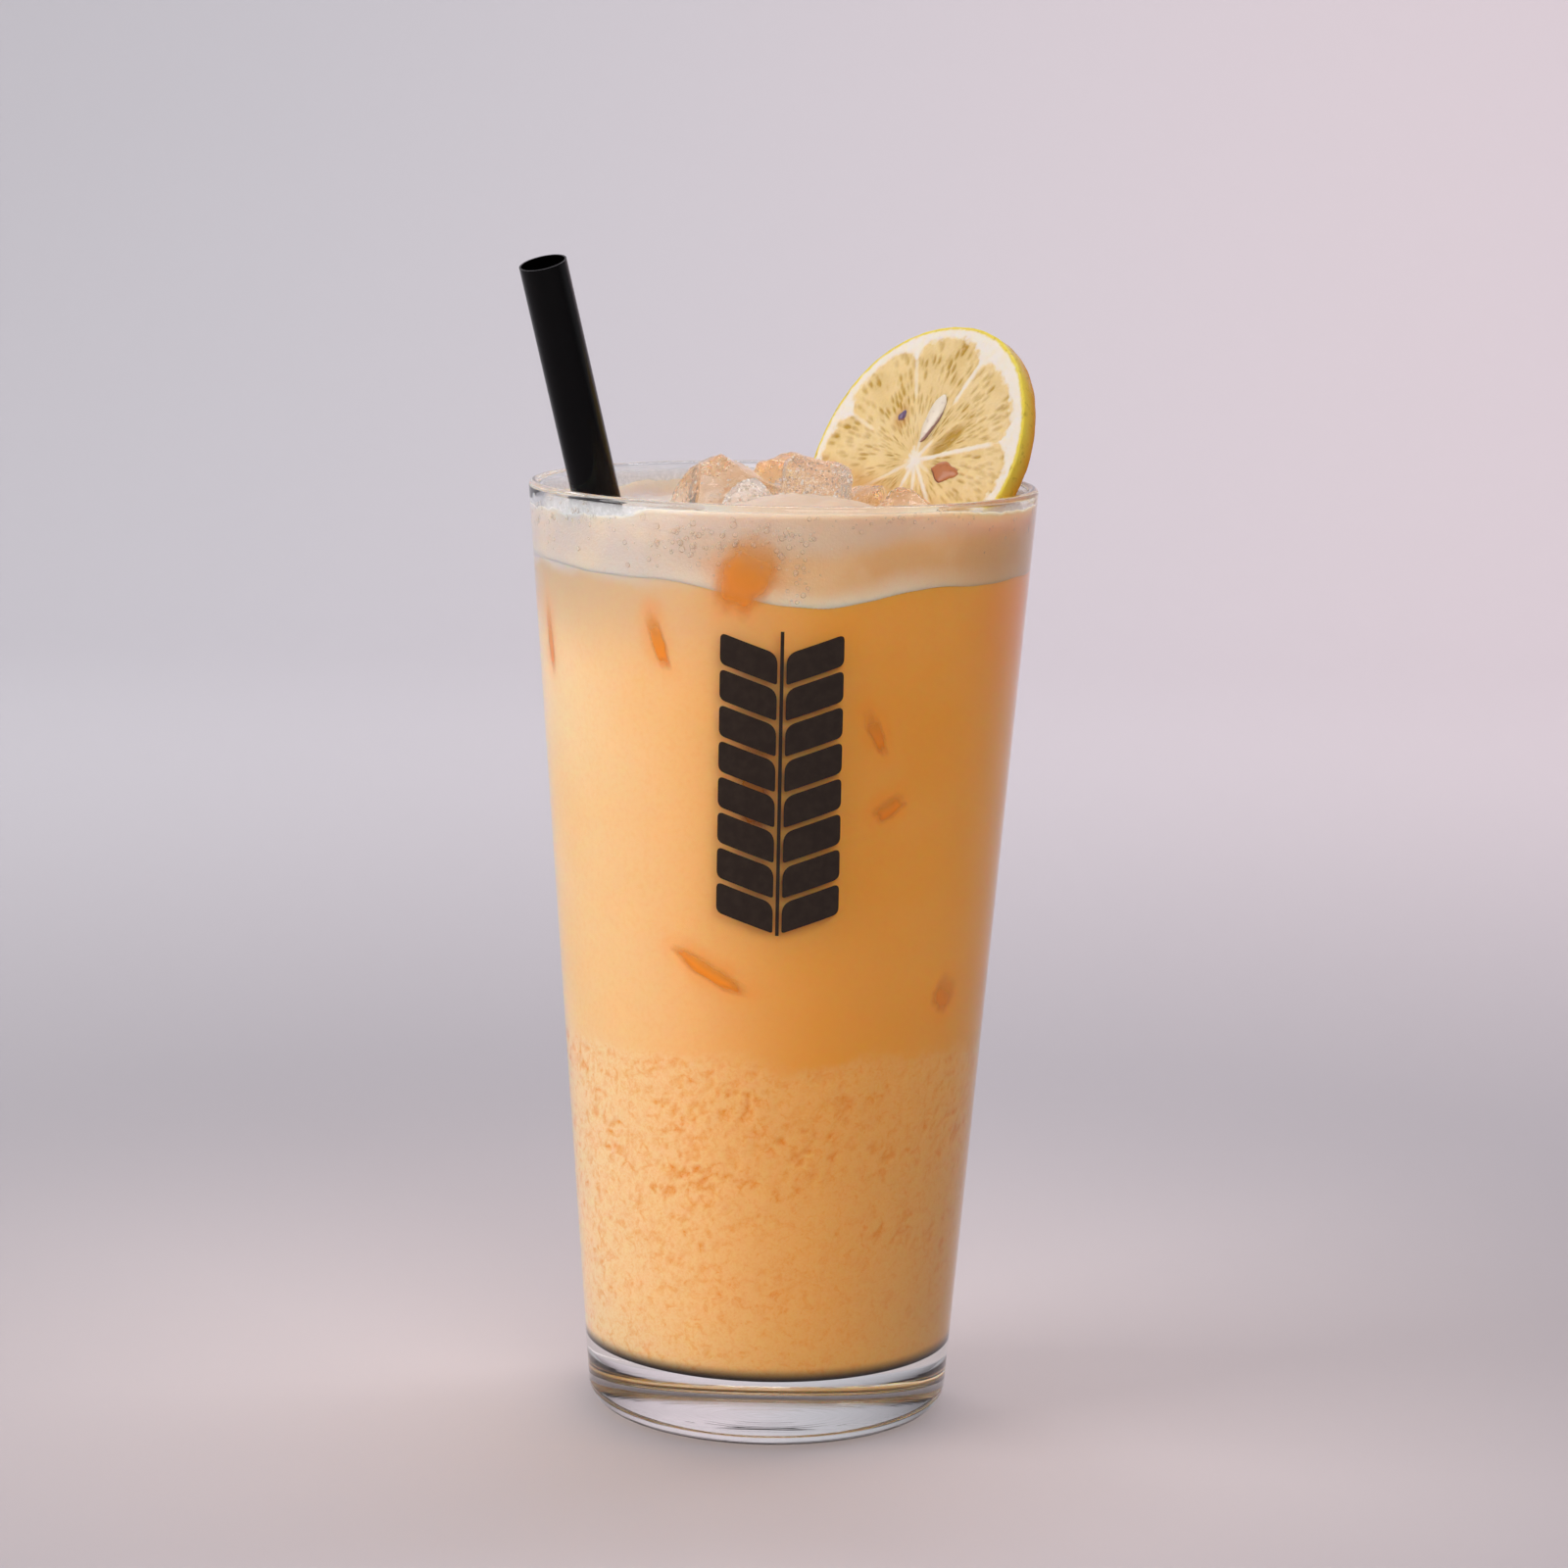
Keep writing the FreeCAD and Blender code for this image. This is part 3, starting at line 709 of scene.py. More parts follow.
class AddLemonadeFoam(AddPiece):
    """Adds the head of foam, with froth pushed up in front of the ice."""
    bl_idname = "lemonade.add_foam"
    bl_label = "Foam"

    def build(self, scene):
        sizes = scene.lemonade_glass
        looks = scene.lemonade_drink
        tumbler = Tumbler(sizes)
        into = looks.into_wall
        wide = tumbler.inside(sizes.height - 8.0)
        clear_rim, steps = 1.6, 20

        def tucked(a, part):
            z = foam_edge(tumbler, a) - OVERLAP
            return (tumbler.inside(z) + into - TUCK) * part, z

        def over(a, part):
            clings = 3.6 + 0.8 * noise.noise(Vector((math.cos(a) * 6, math.sin(a) * 6, 1.0)))
            clings -= 1.4 * smoothstep(0.4, 0.75, -math.cos(a))
            rise = smoothstep(0.955, 1.0, part) * clings
            top = froth_height(wide * part * math.cos(a), wide * part * math.sin(a))
            z = min(top + rise, sizes.height - clear_rim + 27.0 * (1 - part))
            return (tumbler.inside(z) + into) * part, z

        def side(a, i):
            low, high = foam_edge(tumbler, a), over(a, 1.0)[1]
            z = low + (high - low) * i / steps
            return tumbler.inside(z) + into, z

        rows = [lambda a, p=p: tucked(a, p) for p in (0.0, 0.2, 0.5, 0.8, 1.0)]
        rows += [lambda a, i=i: side(a, i) for i in range(steps)]
        parts = [1.0 - 0.010 * i for i in range(10)] + [0.9 - 0.018 * i for i in range(50)]
        rows += [lambda a, p=p: over(a, p) for p in (*parts, 0.0)]
        points, faces = turned(rows, 300)
        piece = add_piece("foam_froth", points, faces, self.material(looks))
        mark(piece, above=[z - foam_edge(tumbler, math.atan2(y, x)) for x, y, z in points],
             ice=[near_ice(math.atan2(y, x), z, tumbler) for x, y, z in points])
        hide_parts("foam_head")

    def material(self, looks):
        finish = Finish("Foam")
        place = finish.place()
        deep = finish.axis(place, "X").steps(-0.030, 0.012)
        above = finish.attribute("above")
        clouds = finish.grain(90.0, 3.0)
        fine = finish.grain(1500.0, 3.0, 0.7)
        tone = finish.blend(deep, looks.film, looks.cream)
        # painted highlight: the foam's lower edge is painted white, most strongly in the middle
        middle = finish.axis(place, "X").steps(-0.024, 0.0) * finish.axis(
            place, "X").falls(0.010, 0.040) * 0.75 + 0.12
        tone = finish.blend((above + clouds * 3.0).falls(1.6, 6.0) * middle, tone, looks.white)
        tone = finish.blend(clouds.steps(0.45, 0.8) * 0.35, tone, looks.clump)
        tone = finish.blend(fine.steps(0.5, 0.8) * 0.15, tone, looks.gap)
        top = (above + clouds * 2.0).steps(8.0, 12.0)
        tone = finish.blend(top * 0.5, tone, looks.film)
        tone = finish.blend(finish.attribute("ice") * above.falls(3.0, 9.0) * 0.55, tone,
                            looks.gap)
        # painted shade: the foam's far right is painted darker
        shaded = finish.axis(place, "X").steps(0.022, 0.044)
        tone = finish.blend(shaded * 0.5, tone, looks.painted_shade_dusk)
        foam = finish.principled(
            base_color=tone, roughness=0.45, specular_ior_level=0.2, subsurface_weight=1.0,
            subsurface_radius=(1.0, 0.7, 0.45), subsurface_scale=0.003,
            normal=finish.bump(fine + clouds, 0.0004, 0.3))
        return finish.done(foam)


class AddLemonadeFilm(AddPiece):
    """Adds the wet film of froth on the wall above the foam."""
    bl_idname = "lemonade.add_film"
    bl_label = "Film"

    def build(self, scene):
        sizes = scene.lemonade_glass
        tumbler = Tumbler(sizes)
        low, high = sizes.height - 8.0, sizes.height - 1.2
        segments, steps = 240, 16
        points, faces = [], []
        for k in range(2 * steps):
            up = k if k < steps else 2 * steps - 1 - k
            z = low + (high - low) * up / (steps - 1)
            r = tumbler.inside(z) + (0.03 if k < steps else -0.04)
            points += [spun(r, TAU * i / segments, z) for i in range(segments)]
        for k in range(2 * steps):
            faces += band(k * segments, (k + 1) % (2 * steps) * segments, segments)
        piece = add_piece("froth_film", points, faces, self.material())
        mark(piece, up=[(z - low) / (high - low) for x, y, z in points])

    def material(self):
        finish = Finish("Froth film")
        place = finish.place()
        up = finish.attribute("up")
        streaks = finish.grain(150.0, 4.0, 0.65)
        fine = finish.grain(1200.0, 3.0, 0.6)
        right = finish.axis(place, "X").steps(-0.02, 0.03)
        thick = (up + (streaks - 0.5) * 0.45).falls(0.75, 1.15)
        alpha = thick * (0.5 + fine.steps(0.35, 0.7) * 0.22)
        colour = finish.blend(right, (0.86, 0.84, 0.86), (0.88, 0.76, 0.64))
        film = finish.principled(base_color=colour, roughness=0.35, alpha=alpha)
        return finish.done(film)


class AddLemonadeBubbles(AddPiece):
    """Adds the bubbles that the froth leaves on the wall and round the ice."""
    bl_idname = "lemonade.add_bubbles"
    bl_label = "Bubbles"

    # bearing, height, spread in degrees, spread in mm, how many, largest radius in mm
    CLUSTERS = (
        (-112.0, 157.4, 8.0, 2.0, 95, 0.62),
        (-100.0, 156.4, 5.0, 1.8, 45, 0.5),
        (-86.5, 153.5, 2.2, 4.0, 40, 0.55),
        (-93.0, 158.8, 5.0, 1.2, 40, 0.5),
        (-140.0, 159.6, 9.0, 1.6, 45, 0.5),
        (-158.0, 158.0, 7.0, 2.0, 30, 0.5),
        (-60.0, 160.6, 14.0, 0.8, 35, 0.4),
        (60.0, 158.0, 60.0, 1.6, 120, 0.6),
        (160.0, 158.0, 30.0, 1.6, 70, 0.6),
    )

    def build(self, scene):
        tumbler = Tumbler(scene.lemonade_glass)
        into = scene.lemonade_drink.into_wall
        pick = random.Random(7)
        points, faces, rims = [], [], []
        for bearing, height, wide, tall, count, largest in self.CLUSTERS:
            for _ in range(count):
                a = math.radians(pick.gauss(bearing, wide))
                z = min(scene.lemonade_glass.height - 1.5, pick.gauss(height, tall))
                size = largest * (0.3 + 0.7 * pick.random() ** 2)
                self.cap(points, faces, rims, tumbler, a, z, size, into)
        piece = add_piece("wall_bubbles", points, faces, self.material())
        mark(piece, rim=rims)

    def cap(self, points, faces, rims, tumbler, a, z, size, into):
        """One bubble: a low dome against the wall."""
        start, segments = len(points), 12
        for ring, (part, lift) in enumerate(((1.0, 0.0), (0.86, 0.5), (0.6, 0.8), (0.25, 1.0))):
            for i in range(segments):
                b = TAU * i / segments
                height = z + size * part * math.sin(b)
                r = tumbler.inside(height) + into + 0.02 + 0.42 * size * lift
                points.append(spun(r, a + size * part * math.cos(b) / r, height))
                rims.append(part)
            if ring:
                low = start + (ring - 1) * segments
                faces += band(low, low + segments, segments)
        faces.append(tuple(start + 3 * segments + i for i in range(segments)))

    def material(self):
        finish = Finish("Bubbles")
        rim = finish.attribute("rim")
        uneven = finish.grain(900.0, 2.0)
        colour = finish.blend(rim.steps(0.5, 0.95), (0.92, 0.83, 0.72), (0.66, 0.48, 0.32))
        alpha = 0.14 + rim.steps(0.55, 0.95) * 0.36 * uneven.steps(0.2, 0.6)
        bubble = finish.principled(base_color=colour, roughness=0.25, specular_ior_level=0.12,
                                   alpha=alpha)
        return finish.done(bubble)


# Each cube: long, wide, deep in mm, then its turn about Z and about its own X and Y, in degrees.
CUBES = {
    "ice_left": (16.0, 14.5, 17.0, 22.0, -8.0, 28.0),
    "ice_front": (9.6, 8.0, 10.0, 24.0, -12.0, -42.0),
    "ice_middle": (11.6, 11.5, 15.0, 6.0, -8.0, 10.0),
    "ice_back": (15.5, 11.0, 14.0, -18.0, 6.0, 24.0),
    "ice_right": (7.3, 10.0, 12.0, 8.0, -10.0, 4.0),
    "ice_edge": (11.5, 9.0, 12.0, -28.0, 6.0, 14.0),
}
# How frosted a cube is and how much it sparkles, from 0 to 1, and how many beads froth leaves on it.
FROSTED = {"ice_front": (0.8, 1.0), "ice_middle": (0.2, 1.0)}
WET = (0.05, 0.25)
BEADS = {"ice_left": 40, "ice_middle": 110, "ice_front": 110}
FEW_BEADS = 14


def melted_cube(long, wide, deep, seed, steps=30):
    """Points and faces of a rounded, chipped and slightly melted cube about the origin."""
    points, faces, index = [], [], {}
    pick = random.Random(seed)
    # a high power makes a square cube; each chip cuts it off at its reach along its way
    power, chip_count = 6.5, 9
    chips = []
    for _ in range(chip_count):
        way = Vector((pick.uniform(-1, 1), pick.uniform(-1, 1), pick.uniform(-1, 1))).normalized()
        chips.append((way, pick.uniform(0.86, 1.05)))

    def at(*key):
        """The melted place of a point on the cube, each coordinate from -1 to 1."""
        key = tuple(round(c, 5) for c in key)
        if key not in index:
            away = Vector(key)
            spot = away / sum(abs(c) ** power for c in away) ** (1 / power)
            for way, reach in chips:
                over = spot.dot(way) - reach * (1.0 if max(map(abs, way)) > 0.8 else 1.18)
                if over > 0:
                    spot = spot - way * over * 0.92
            melt = 1.0 + 0.06 * noise.noise(spot * 1.6 + Vector((seed, 0, 0)))
            melt += 0.022 * noise.noise(spot * 5.0 + Vector((0, seed, 0)))
            melt += 0.008 * noise.noise(spot * 13.0 + Vector((0, 0, seed)))
            taper = 0.95 + 0.05 * spot.z
            index[key] = len(points)
            points.append(Vector((spot.x * long / 2 * taper, spot.y * wide / 2 * taper,
                                  spot.z * deep / 2)) * melt)
        return index[key]

    for axis, end, i, j in product(range(3), (-1, 1), range(steps), range(steps)):
        corners = []
        for di, dj in ((0, 0), (1, 0), (1, 1), (0, 1)):
            c = [0.0, 0.0, 0.0]
            c[axis] = end
            c[(axis + 1) % 3] = -1 + 2 * (i + di) / steps
            c[(axis + 2) % 3] = -1 + 2 * (j + dj) / steps
            corners.append(at(*c))
        faces.append(corners if end > 0 else corners[::-1])
    return points, faces


def ice_finish(name, tint, frost, sparkle):
    """Melting ice: clear where it is wet, frosted with small bubbles elsewhere."""
    finish = Finish(name)
    frosted = finish.grain(130.0, 3.0).steps(0.5 - 0.3 * sparkle, 0.75 - 0.3 * sparkle)
    bubbles = finish.cells(1100.0).falls(0.0, 0.45)
    dents = finish.grain(230.0, 4.0, 0.6)
    streaks = finish.grain(90.0, 3.0, twist=1.2).steps(0.35, 0.7)
    colour = finish.blend(streaks, tint, (0.99, 0.95, 0.91))
    colour = finish.blend(frosted * 0.6, colour, (0.97, 0.95, 0.94))
    crumbs = (dents + bubbles * 1.4) * frosted * (1.3 * sparkle)
    ice = finish.principled(
        base_color=colour, roughness=0.01 + frosted * (0.25 * frost), ior=1.34,
        transmission_weight=0.96 - 0.3 * frost,
        normal=finish.bump(dents * 0.16 + crumbs, 0.0006, 0.7))
    return finish.done(finish.lets_light_in(ice, (0.85, 0.78, 0.7)))


class AddLemonadeIce(AddPiece):
    """Adds the melting ice that stands out of the foam."""
    bl_idname = "lemonade.add_ice"
    bl_label = "Ice"

    def build(self, scene):
        pick, beads = random.Random(3), []
        for seed, (node, cube) in enumerate(CUBES.items()):
            long, wide, deep, turn, pitch, roll = cube
            low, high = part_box(node)
            middle = (low + high) / 2 / MM
            if node == "ice_back":
                # it melts into the cube on its left
                long += 4.0
                middle.x -= 2.2
            lie = (Matrix.Rotation(math.radians(turn), 3, "Z")
                   @ Matrix.Rotation(math.radians(roll), 3, "Y")
                   @ Matrix.Rotation(math.radians(pitch), 3, "X"))
            points, faces = melted_cube(long, wide, deep, seed * 7.3 + 1.0)
            points = [lie @ p + middle for p in points]
            frost, sparkle = FROSTED.get(node, WET)
            tint = (0.98, 0.93, 0.88) if sparkle > 0.5 else (0.79, 0.65, 0.51)
            material = ice_finish(f"Ice {seed + 1}", tint, frost, sparkle)
            piece = add_piece(node + "_melting", points, faces, material)
            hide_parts(node)
            self.froth_on(points, faces, BEADS.get(node, FEW_BEADS), pick, beads)
        self.add_beads(beads)

    def froth_on(self, points, faces, count, pick, beads):
        """Picks places for small beads on the side of a cube that faces up and to the front."""
        up_and_front = Vector((-0.3, -0.8, 0.5))
        for face in pick.sample(faces, count * 3):
            a, b, c = (points[i] for i in face[:3])
            outward = (b - a).cross(c - a)
            if outward.length > 0 and outward.normalized().dot(up_and_front) > 0.2:
                beads.append(((a + c) / 2, pick.uniform(0.09, 0.2) + 0.16 * pick.random() ** 4))

    def add_beads(self, beads):
        """Small round beads of air and water as one piece."""
        ball = bmesh.new()
        bmesh.ops.create_icosphere(ball, subdivisions=1, radius=1.0)
        shape = [v.co.copy() for v in ball.verts]
        sides = [[v.index for v in f.verts] for f in ball.faces]
        ball.free()
        points, faces = [], []
        for middle, size in beads:
            faces += [[len(points) + i for i in side] for side in sides]
            points += [middle + co * size for co in shape]
        finish = Finish("Beads")
        uneven = finish.grain(1500.0, 2.0)
        colour = finish.blend(uneven.steps(0.4, 0.7), (1.0, 0.98, 0.96), (0.95, 0.86, 0.76))
        bead = finish.principled(base_color=colour, roughness=0.05, ior=1.33,
                                 transmission_weight=0.55)
        add_piece("ice_beads", points, faces,
                  finish.done(finish.lets_light_in(bead)))


class AddLemonadeStraw(AddPiece):
    """Gives the straw its glossy black finish."""
    bl_idname = "lemonade.finish_straw"
    bl_label = "Straw"

    def build(self, scene):
        finish = Finish("Black plastic")
        drawn = finish.grain(900.0, 2.0)
        dust = finish.grain(2400.0, 2.0).steps(0.66, 0.8)
        colour = finish.blend(dust * 0.1, (0.001, 0.0007, 0.0007), (0.02, 0.015, 0.015))
        black = finish.principled(
            base_color=colour, roughness=0.12 + finish.grain(160.0, 3.0) * 0.1,
            specular_ior_level=0.16, normal=finish.bump(drawn, 0.00004, 0.3))
        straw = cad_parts["straw"]
        straw.data.materials.clear()
        straw.data.materials.append(finish.done(black))


# The slice's membranes: direction from its core in degrees, how far it starts and ends from the
# core in mm, and how plainly it shows.
MEMBRANES = (
    (14.8, 0, 18.5, 0.85), (68.6, 12.5, 22, 0.8), (113.6, 13, 22, 0.55), (113.6, 0, 13, 0.25),
    (158.8, 14, 22, 0.5), (210.6, 0, 22, 0.6), (257.2, 0, 22, 0.85), (288.0, 0, 22, 0.75),
    (311.0, 0, 22, 0.85), (336.0, 0, 6, 0.5), (97.0, 0, 9, 0.6), (58.0, 0, 6, 0.7),
)
# Where one segment's flesh ends and the next begins, at the pith.
SEGMENTS = (14.8, 68.6, 113.6, 158.8, 210.6, 257.2, 311.0)
CORE = Vector((0.7, -1.1))
# Seeds on the cut face: where, half-length, half-width, turn in degrees and kind.
SEEDS = (
    (1.5, 6.9, 4.8, 2.0, 79.0, "white"),
    (-6.1, 6.9, 1.15, 0.8, 62.0, "purple"),
    (8.4, -2.6, 3.6, 2.1, -6.0, "brown"),
)


class AddLemonadeSlice(AddPiece):
    """Adds the lemon slice, with peel, pith, membranes and juice sacs."""
    bl_idname = "lemonade.add_slice"
    bl_label = "Lemon slice"

    def placement(self, looks):
        """The turn and the middle that stand the flat slice up."""
        bearing, tip = math.radians(looks.bearing), math.radians(looks.tip)
        look = Vector((math.cos(bearing) * math.cos(tip), math.sin(bearing) * math.cos(tip),
                       math.sin(tip)))
        up = (Vector((0, 0, 1)) - look * math.sin(tip)).normalized()
        across = up.cross(look)
        turn = Matrix((across, up, look)).transposed()
        low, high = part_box("lemon_slice")
        middle = (low + high) / 2 / MM + look * looks.thickness / 2
        return turn, middle

    def edge(self, a, radius):
        """Distance from the slice's middle to its outline at the angle a."""
        return radius * (1 + 0.014 * math.cos(2 * (a - 1.1)) + 0.006 * math.cos(5 * a + 0.7))

    def build(self, scene):
        looks = scene.lemonade_lemon
        turn, middle = self.placement(looks)
        thick = looks.thickness
        segments, front_rings, back_rings = 400, 140, 60
        points = []
        marks = {name: [] for name in ("white", "deep", "peel", "stain")}

        def add(x, y, z, **values):
            points.append((x, y, z))
            for name, held in marks.items():
                held.append(values.get(name, 0.0))

        def sheet(side, rings, order):
            """One face's rings: side is 1 in front and -1 behind."""
            for k in order:
                part = (k / rings) ** 0.85
                for i in range(segments):
                    a = TAU * i / segments
                    r = (self.edge(a, looks.radius) - 0.35) * part
                    x, y = r * math.cos(a), r * math.sin(a)
                    face = self.cut_face(x, y, looks.radius, side)
                    lift = face.pop("lift")
                    add(x, y, lift if side > 0 else -thick - lift, **face)

        sheet(1, front_rings, range(front_rings + 1))
        rim_steps = 12
        for k in range(1, rim_steps):
            b = math.pi * k / rim_steps
            for i in range(segments):
                a = TAU * i / segments
                r = self.edge(a, looks.radius) - 0.35 + 0.35 * math.sin(b) ** 0.5
                # the peel's pores
                cell = noise.voronoi(Vector((a * 24, k * 0.42, 0)))[0][0]
                r -= 0.12 * (1 - smoothstep(0.0, 0.4, cell)) * math.sin(b)
                r += 0.10 * noise.noise(Vector((a * 9, k * 0.3, 4)))
                add(r * math.cos(a), r * math.sin(a), -thick / 2 + thick / 2 * math.cos(b),
                    peel=1.0, deep=smoothstep(0.1, 0.9, k / rim_steps))
        sheet(-1, back_rings, range(back_rings, -1, -1))
        faces = []
        for k in range(front_rings + rim_steps + back_rings):
            faces += band((k + 1) * segments, k * segments, segments)
        points = [turn @ Vector(p) + middle for p in points]
        piece = add_piece("lemon_slice_cut", points, faces, self.material(looks))
        mark(piece, **marks)
        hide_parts("lemon_slice")
        self.add_seeds(turn, middle)

    def cut_face(self, x, y, radius, side):
        """What the cut face shows at (x, y), as marks from 0 to 1, and how high it stands."""
        a = math.atan2(y, x)
        out = math.hypot(x, y)
        from_core = Vector((x, y)) - CORE
        r = from_core.length
        bearing = math.degrees(math.atan2(from_core.y, from_core.x)) % 360
        spot = Vector((x, y, 5.0 * side))
        edge = self.edge(a, radius)
        ragged = 0.45 * noise.fractal(spot / 1.3, 0.75, 2.1, 4)
        # pith: thin on the left and thick at the upper right
        wide = 1.7 + 1.5 * math.exp(-((math.degrees(a) - 50) / 34) ** 2)
        wide += 0.7 * math.exp(-((math.degrees(a) + 30) / 30) ** 2)
        nearest = min(abs((bearing - m + 180) % 360 - 180) for m in SEGMENTS)
        corner = 3.4 * math.exp(-r * math.radians(nearest) / 1.5)
        pith = smoothstep(-1.3, 0.7, out - (edge - wide - corner) + 1.6 * ragged)
        wall = 0.0
        for direction, start, end, plain in MEMBRANES:
            off = abs((bearing - direction + 180) % 360 - 180)
            if off > 40:
                continue
            beside = r * math.sin(math.radians(off)) + ragged * 0.3
            along = smoothstep(start - 2, start + 0.5, r) * (1 - smoothstep(end - 2.5, end, r))
            broad = 0.6 + 0.02 * r + 0.8 * math.exp(-r / 2.2)
            wall = max(wall, plain * along * (1 - smoothstep(0.05, broad, beside)))
        star = 0.9 * noise.noise(Vector((3 * math.cos(math.radians(bearing)),
                                         3 * math.sin(math.radians(bearing)), 5.0)))
        core = 0.92 * (1 - smoothstep(0.9, 3.1, r + 1.6 * ragged + star))
        white = max(pith, wall, core)
        # juice sacs: short deep strokes that point to the core
        near, cell = noise.voronoi(Vector((math.radians(bearing) * 19.0, r / 2.7, 9.0 * side)))
        varied = noise.noise(cell[0] * 5.1) * 0.5 + 0.5
        stroke = (1 - smoothstep(0.16, 0.6, near[0])) * smoothstep(0.12, 0.55, varied)
        stroke *= smoothstep(2.0, 6.0, r)
        patch = smoothstep(-0.2, 0.5, noise.noise(spot / 5.0 + Vector((0, 0, 3))))
        deep = min(1.0, stroke * (0.6 + 0.6 * patch) + 0.22 * patch)
        # a hollow beside the white seed is deep yellow
        hollow = math.hypot((x - 6.3 + (y - 2.9) * -0.75) / 2.1, (y - 2.9) / 4.0) if side > 0 else 9
        deep = max(deep, 1 - smoothstep(0.5, 1.25, hollow))
        deep = deep * (1 - white)
        # the drink wets the flesh round the small seed and low down
        stain = 0.0
        if side > 0:
            stain = 0.75 * (1 - smoothstep(0.7, 2.0, math.hypot((x + 6.1) / 1.2, (y - 6.6) / 1.7)))
            wet = smoothstep(-4.5, -9.0, y + 0.2 * x + ragged)
            stain = max(stain, 0.8 * wet * (1 - pith))
        peel = smoothstep(edge - 0.95, edge - 0.45, out + 0.5 * ragged)
        lift = 0.14 * white - 0.16 * stroke * (1 - white) - 0.35 * (1 - smoothstep(
            0.4, 1.2, hollow)) + 0.05 * ragged - 0.1
        return {"white": white, "deep": deep, "peel": peel, "stain": stain,
                "lift": lift * (1 - peel)}

    def add_seeds(self, turn, middle):
        """The seeds that the cut laid open."""
        tones = {
            "white": ((0.86, 0.76, 0.62), (0.38, 0.22, 0.20)),
            "purple": ((0.15, 0.09, 0.19), (0.40, 0.22, 0.15)),
            "brown": ((0.50, 0.17, 0.055), (0.18, 0.035, 0.01)),
        }
        rings, segments = 16, 32
        for k, (x, y, long, wide, tilt, kind) in enumerate(SEEDS):
            t = math.radians(tilt)
            points, edges = [], []
            for ring in range(rings + 1):
                b = math.pi * ring / rings
                for i in range(segments):
                    c = TAU * i / segments
                    edge = squared(c, 1.25 if kind == "brown" else 1.75)
                    u, v = math.cos(c) * edge, math.sin(c) * edge
                    # narrow at the end that points to the core
                    slim = 0.78 + 0.22 * u if kind == "white" else 1 + 0.2 * math.sin(3 * c + 1)
                    bulge = math.sin(b)
                    grain = 1 + 0.07 * noise.noise(Vector((u * 2, v * 2, b + k)))
                    px, py = u * long * bulge * grain, v * wide * bulge * slim * grain
                    points.append((x + px * math.cos(t) - py * math.sin(t),
                                   y + px * math.sin(t) + py * math.cos(t),
                                   0.55 * math.cos(b) + (0.0 if kind == "white" else -0.25)))
                    outer = bulge if b < math.pi / 2 else 1.0
                    edges.append(outer * (0.72 + 0.28 * math.sin(c - 2.4)))
            faces = []
            for ring in range(rings):
                faces += band(ring * segments, (ring + 1) * segments, segments, inward=True)
            points = [turn @ Vector(p) + middle for p in points]
            piece = add_piece(f"seed_{kind}", points, faces, self.seed_finish(kind, *tones[kind]))
            mark(piece, edge=edges)

    def seed_finish(self, kind, inside, outside):
        finish = Finish(f"Seed {kind}")
        uneven = finish.grain(700.0, 3.0)
        rim = (finish.attribute("edge") + (uneven - 0.5) * 0.2).steps(0.74, 0.90)
        colour = finish.blend(rim, inside, outside)
        colour = finish.blend(uneven.steps(0.5, 0.75) * 0.35, colour, outside)
        return finish.done(finish.principled(
            base_color=colour, roughness=0.28, normal=finish.bump(uneven, 0.0002, 0.5)))

    def material(self, looks):
        finish = Finish("Lemon")
        soft = finish.grain(700.0, 3.0)
        fine = finish.grain(1900.0, 3.0, 0.6)
        wet = finish.grain(120.0, 3.0)
        white, deep = finish.attribute("white"), finish.attribute("deep")
        peel, stain = finish.attribute("peel"), finish.attribute("stain")
        flesh = finish.blend((deep + (fine - 0.5) * 0.3).most(0.0).least(1.0), looks.flesh,
                             looks.juice)
        flesh = finish.blend(wet.steps(0.4, 0.75) * 0.3, flesh, looks.pulp)
        pith = finish.blend(soft.steps(0.35, 0.75) * 0.3, looks.pith, looks.pulp)
        face = finish.blend((white + (soft - 0.5) * 0.25).steps(0.15, 0.95), flesh, pith)
        face = finish.blend(stain * 0.75, face, looks.stain)
        zest = finish.blend(deep, looks.zest, looks.gold)
        zest = finish.blend(finish.grain(900.0, 2.0).steps(0.55, 0.75) * 0.5, zest, looks.olive)
        colour = finish.blend(peel, face, zest)
        slice_shader = finish.principled(
            base_color=colour, roughness=0.2 + white * 0.25, ior=1.38, subsurface_weight=0.6,
            subsurface_radius=(1.0, 0.8, 0.3), subsurface_scale=0.0012,
            normal=finish.bump(soft * 0.6 + fine * 0.4, 0.00028, 0.55))
        return finish.done(slice_shader)


